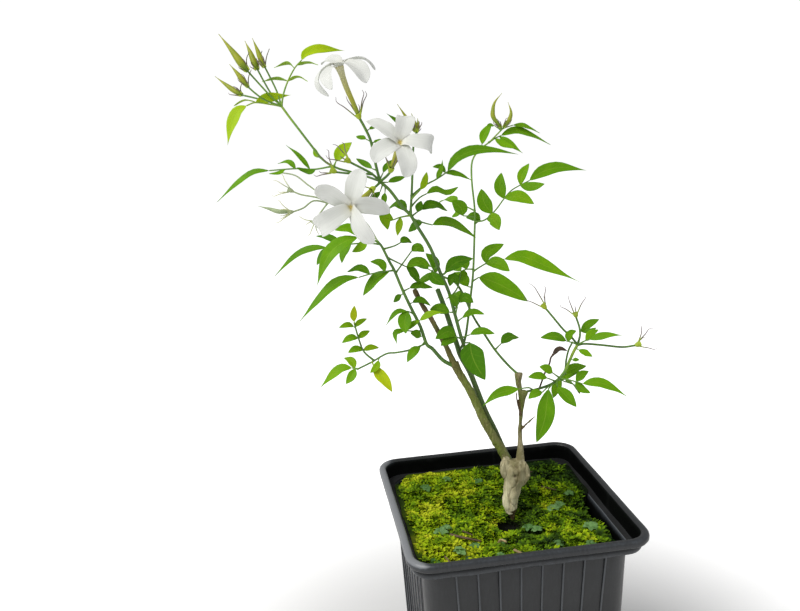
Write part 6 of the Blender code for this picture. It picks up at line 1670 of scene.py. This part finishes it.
def make_litter():
    """Liverwort lobes and straws that lie on the moss."""
    chance = random.Random(41)
    skin = Skin()
    for (x, y), turn, size, tone in LOBES:
        for k in range(5):
            angle = math.radians(turn + 72 * k + chance.uniform(-16, 16))
            reach = size * chance.uniform(0.7, 1.1)
            z = moss_height(x, y) + 1.0 + chance.uniform(0, 0.5)
            right = reach * math.cos(angle)
            back = reach * math.sin(angle)
            tip = Vector((x + right, y + back, z + chance.uniform(-0.4, 0.7)))
            middle = Vector((x + 0.5 * right, y + 0.5 * back, z + 0.7))
            route = spline([Vector((x, y, z - 0.8)) * MM, middle * MM, tip * MM], 3)
            wide = reach * 0.85 * MM
            blade(skin, route, (route[1] - route[0]).cross(Vector((0, 0, 1))),
                  lambda s: wide * petal_share(s, 0.3, 0.6), fold=chance.uniform(0.05, 0.3), thick=0.4,
                  tone=tone + chance.uniform(-0.15, 0.1), rows=6, cols=6, wave=0.15, phase=chance.random())
    piece("moss_liverwort", skin, "liverwort", "moss")
    straws = Skin()
    for points, width, tone in STRAWS:
        spots = [Vector((x, y, moss_height(x, y) + over)) * MM for x, y, over in points]
        line = spline(spots, 5)
        last = len(line) - 1
        widths = [width * (1 - 0.35 * k / last) for k in range(last + 1)]
        tube(straws, line, widths, sides=8, tone=tone, flutes=3, depth=0.08)
    piece("moss_straws", straws, "twig", "moss")


def make_soil():
    """The peat block with its rough top, and the loose crumbs that show along the walls."""
    points = []
    rows = [(FLOOR + 0.3, 1.0), (30, 1.0), (60, 1.0), (SOIL_TOP - 0.8, 1.0), (SOIL_TOP - 0.2, 0.985),
            (SOIL_TOP, 0.9), (SOIL_TOP, 0.6), (SOIL_TOP, 0.3)]
    for z, share in rows:
        half = wall_half(z) - WALL - 0.35
        for spot in square_ring(half * share, 8.2 * share, z):
            rough = noise.noise(spot * 0.4) * 0.35
            points.append((spot + Vector((0, 0, rough if share < 1 else 0))) * MM)
    size = len(points) // len(rows)
    faces = between_rings(len(rows), size)
    faces.append(tuple(reversed(range(size))))
    faces.append(tuple(range(len(points) - size, len(points))))
    skin = Skin()
    skin.add(points, faces)
    piece("soil_block", skin, "peat", "soil")

    # a crumb is a lumpy ball of twenty faces
    turn = (1 + math.sqrt(5)) / 2
    corners = [(-1, turn, 0), (1, turn, 0), (-1, -turn, 0), (1, -turn, 0), (0, -1, turn), (0, 1, turn),
               (0, -1, -turn), (0, 1, -turn), (turn, 0, -1), (turn, 0, 1), (-turn, 0, -1), (-turn, 0, 1)]
    lumps = [Vector(c) * (0.34 + 0.09 * math.sin(7 * k)) * MM for k, c in enumerate(corners)]
    crumb = plain_mesh("crumb_shape", lumps, [
        (0, 11, 5), (0, 5, 1), (0, 1, 7), (0, 7, 10), (0, 10, 11), (1, 5, 9), (5, 11, 4), (11, 10, 2),
        (10, 7, 6), (7, 1, 8), (3, 9, 4), (3, 4, 2), (3, 2, 6), (3, 6, 8), (3, 8, 9), (4, 9, 5), (2, 4, 11),
        (6, 2, 10), (8, 6, 7), (9, 8, 1)])
    shape = bpy.data.objects.new("crumb_shape", crumb)
    band = square_ring(45.0, 8, SOIL_TOP + 0.2) + square_ring(40.0, 6, SOIL_TOP + 0.4)
    ground = plain_mesh("soil_crumbs_start", [p * MM for p in band], between_rings(2, len(band) // 2))
    mesh = scattered("soil_crumbs", ground, shape, 900000, 53, 0.4, 1.7, LOOKS["peat"], tilt=3.0)
    bpy.data.objects.remove(shape)
    piece("soil_crumbs", mesh, "peat", "soil")


# Camera, floor and light

FLOOR_REACH = 3.0  # metres
HAZE = (0.08, 0.30)  # metres from the pot, between which the floor turns to plain white
SKY = 0.40
SKY_SEEN = 0.62  # more of it where the sky itself is seen
LAMPS = (
    # name, place in metres, size, watts, colour
    ("window", (-0.60, -0.25, 0.92), 0.7, 8.0, (1.0, 0.99, 0.97)),
    ("fill", (0.7, -0.6, 0.5), 0.8, 1.0, (0.97, 0.98, 1.0)),
)
LAMP_AIM = Vector((0, 0, 0.2))


def make_stage():
    """The camera, and a plain white floor under an even white sky, with one large soft light from
    the upper left and a weak one from the right."""
    data = bpy.data.cameras.new("camera")
    data.lens = LENS
    data.sensor_width = SENSOR
    data.clip_start = 0.01
    camera = linked("camera", data)
    turned = Matrix((SHEET_RIGHT, SHEET_UP, -SHEET_FAR)).transposed()
    camera.matrix_world = Matrix.Translation(EYE * MM) @ turned.to_4x4()
    bpy.context.scene.camera = camera

    pale, tree = look("pale floor", Roughness=0.9, Base_Color=(0.85, 0.85, 0.85, 1.0), Emission_Strength=0.8)
    where = add_node(tree, "ShaderNodeTexCoord").outputs["Object"]
    away = add_node(tree, "ShaderNodeVectorMath", {0: where}, operation="LENGTH").outputs["Value"]
    seen = between(tree, add_node(tree, "ShaderNodeLightPath").outputs["Is Camera Ray"], 0.0, 1.0, 0.3, 1.0)
    haze = times(tree, seen, between(tree, away, *HAZE))
    haze = add_node(tree, "ShaderNodeCombineColor", {k: haze for k in range(3)}).outputs[0]
    tree.links.new(haze, tree.nodes["Principled BSDF"].inputs["Emission Color"])
    corners = [(x * FLOOR_REACH, y * FLOOR_REACH, 0) for x, y in ((-1, -1), (1, -1), (1, 1), (-1, 1))]
    ground = linked("floor", plain_mesh("floor", corners, [(0, 1, 2, 3)]))
    ground.data.materials.append(pale)

    for name, spot, size, watts, colour in LAMPS:
        lamp = bpy.data.lights.new(name, "AREA")
        lamp.size = size
        lamp.energy = watts
        lamp.color = colour
        light = linked(name, lamp)
        light.location = spot
        light.rotation_euler = (LAMP_AIM - Vector(spot)).to_track_quat("-Z", "Y").to_euler()

    world = bpy.data.worlds.new("white room")
    world.use_nodes = True
    tree = world.node_tree
    sky = tree.nodes["Background"]
    sky.inputs["Color"].default_value = (1.0, 1.0, 1.0, 1.0)
    ray = add_node(tree, "ShaderNodeLightPath").outputs["Is Camera Ray"]
    tree.links.new(plus(tree, times(tree, ray, SKY_SEEN), SKY), sky.inputs["Strength"])
    bpy.context.scene.world = world
    bpy.context.scene.view_settings.view_transform = "Standard"


make_stage()
make_pot()
make_ribs()
make_soil()
make_moss_ground()
make_moss_shoots()
make_litter()
make_trunk()
make_flowering_stem()
make_upper_left_spray()
make_left_stem()
make_lower_left_spray()
make_far_spray()
make_back_stem()
make_right_cane()
make_right_shoot()
make_dead_shoot()
for bloom in BLOOMS:
    make_bloom(*bloom)
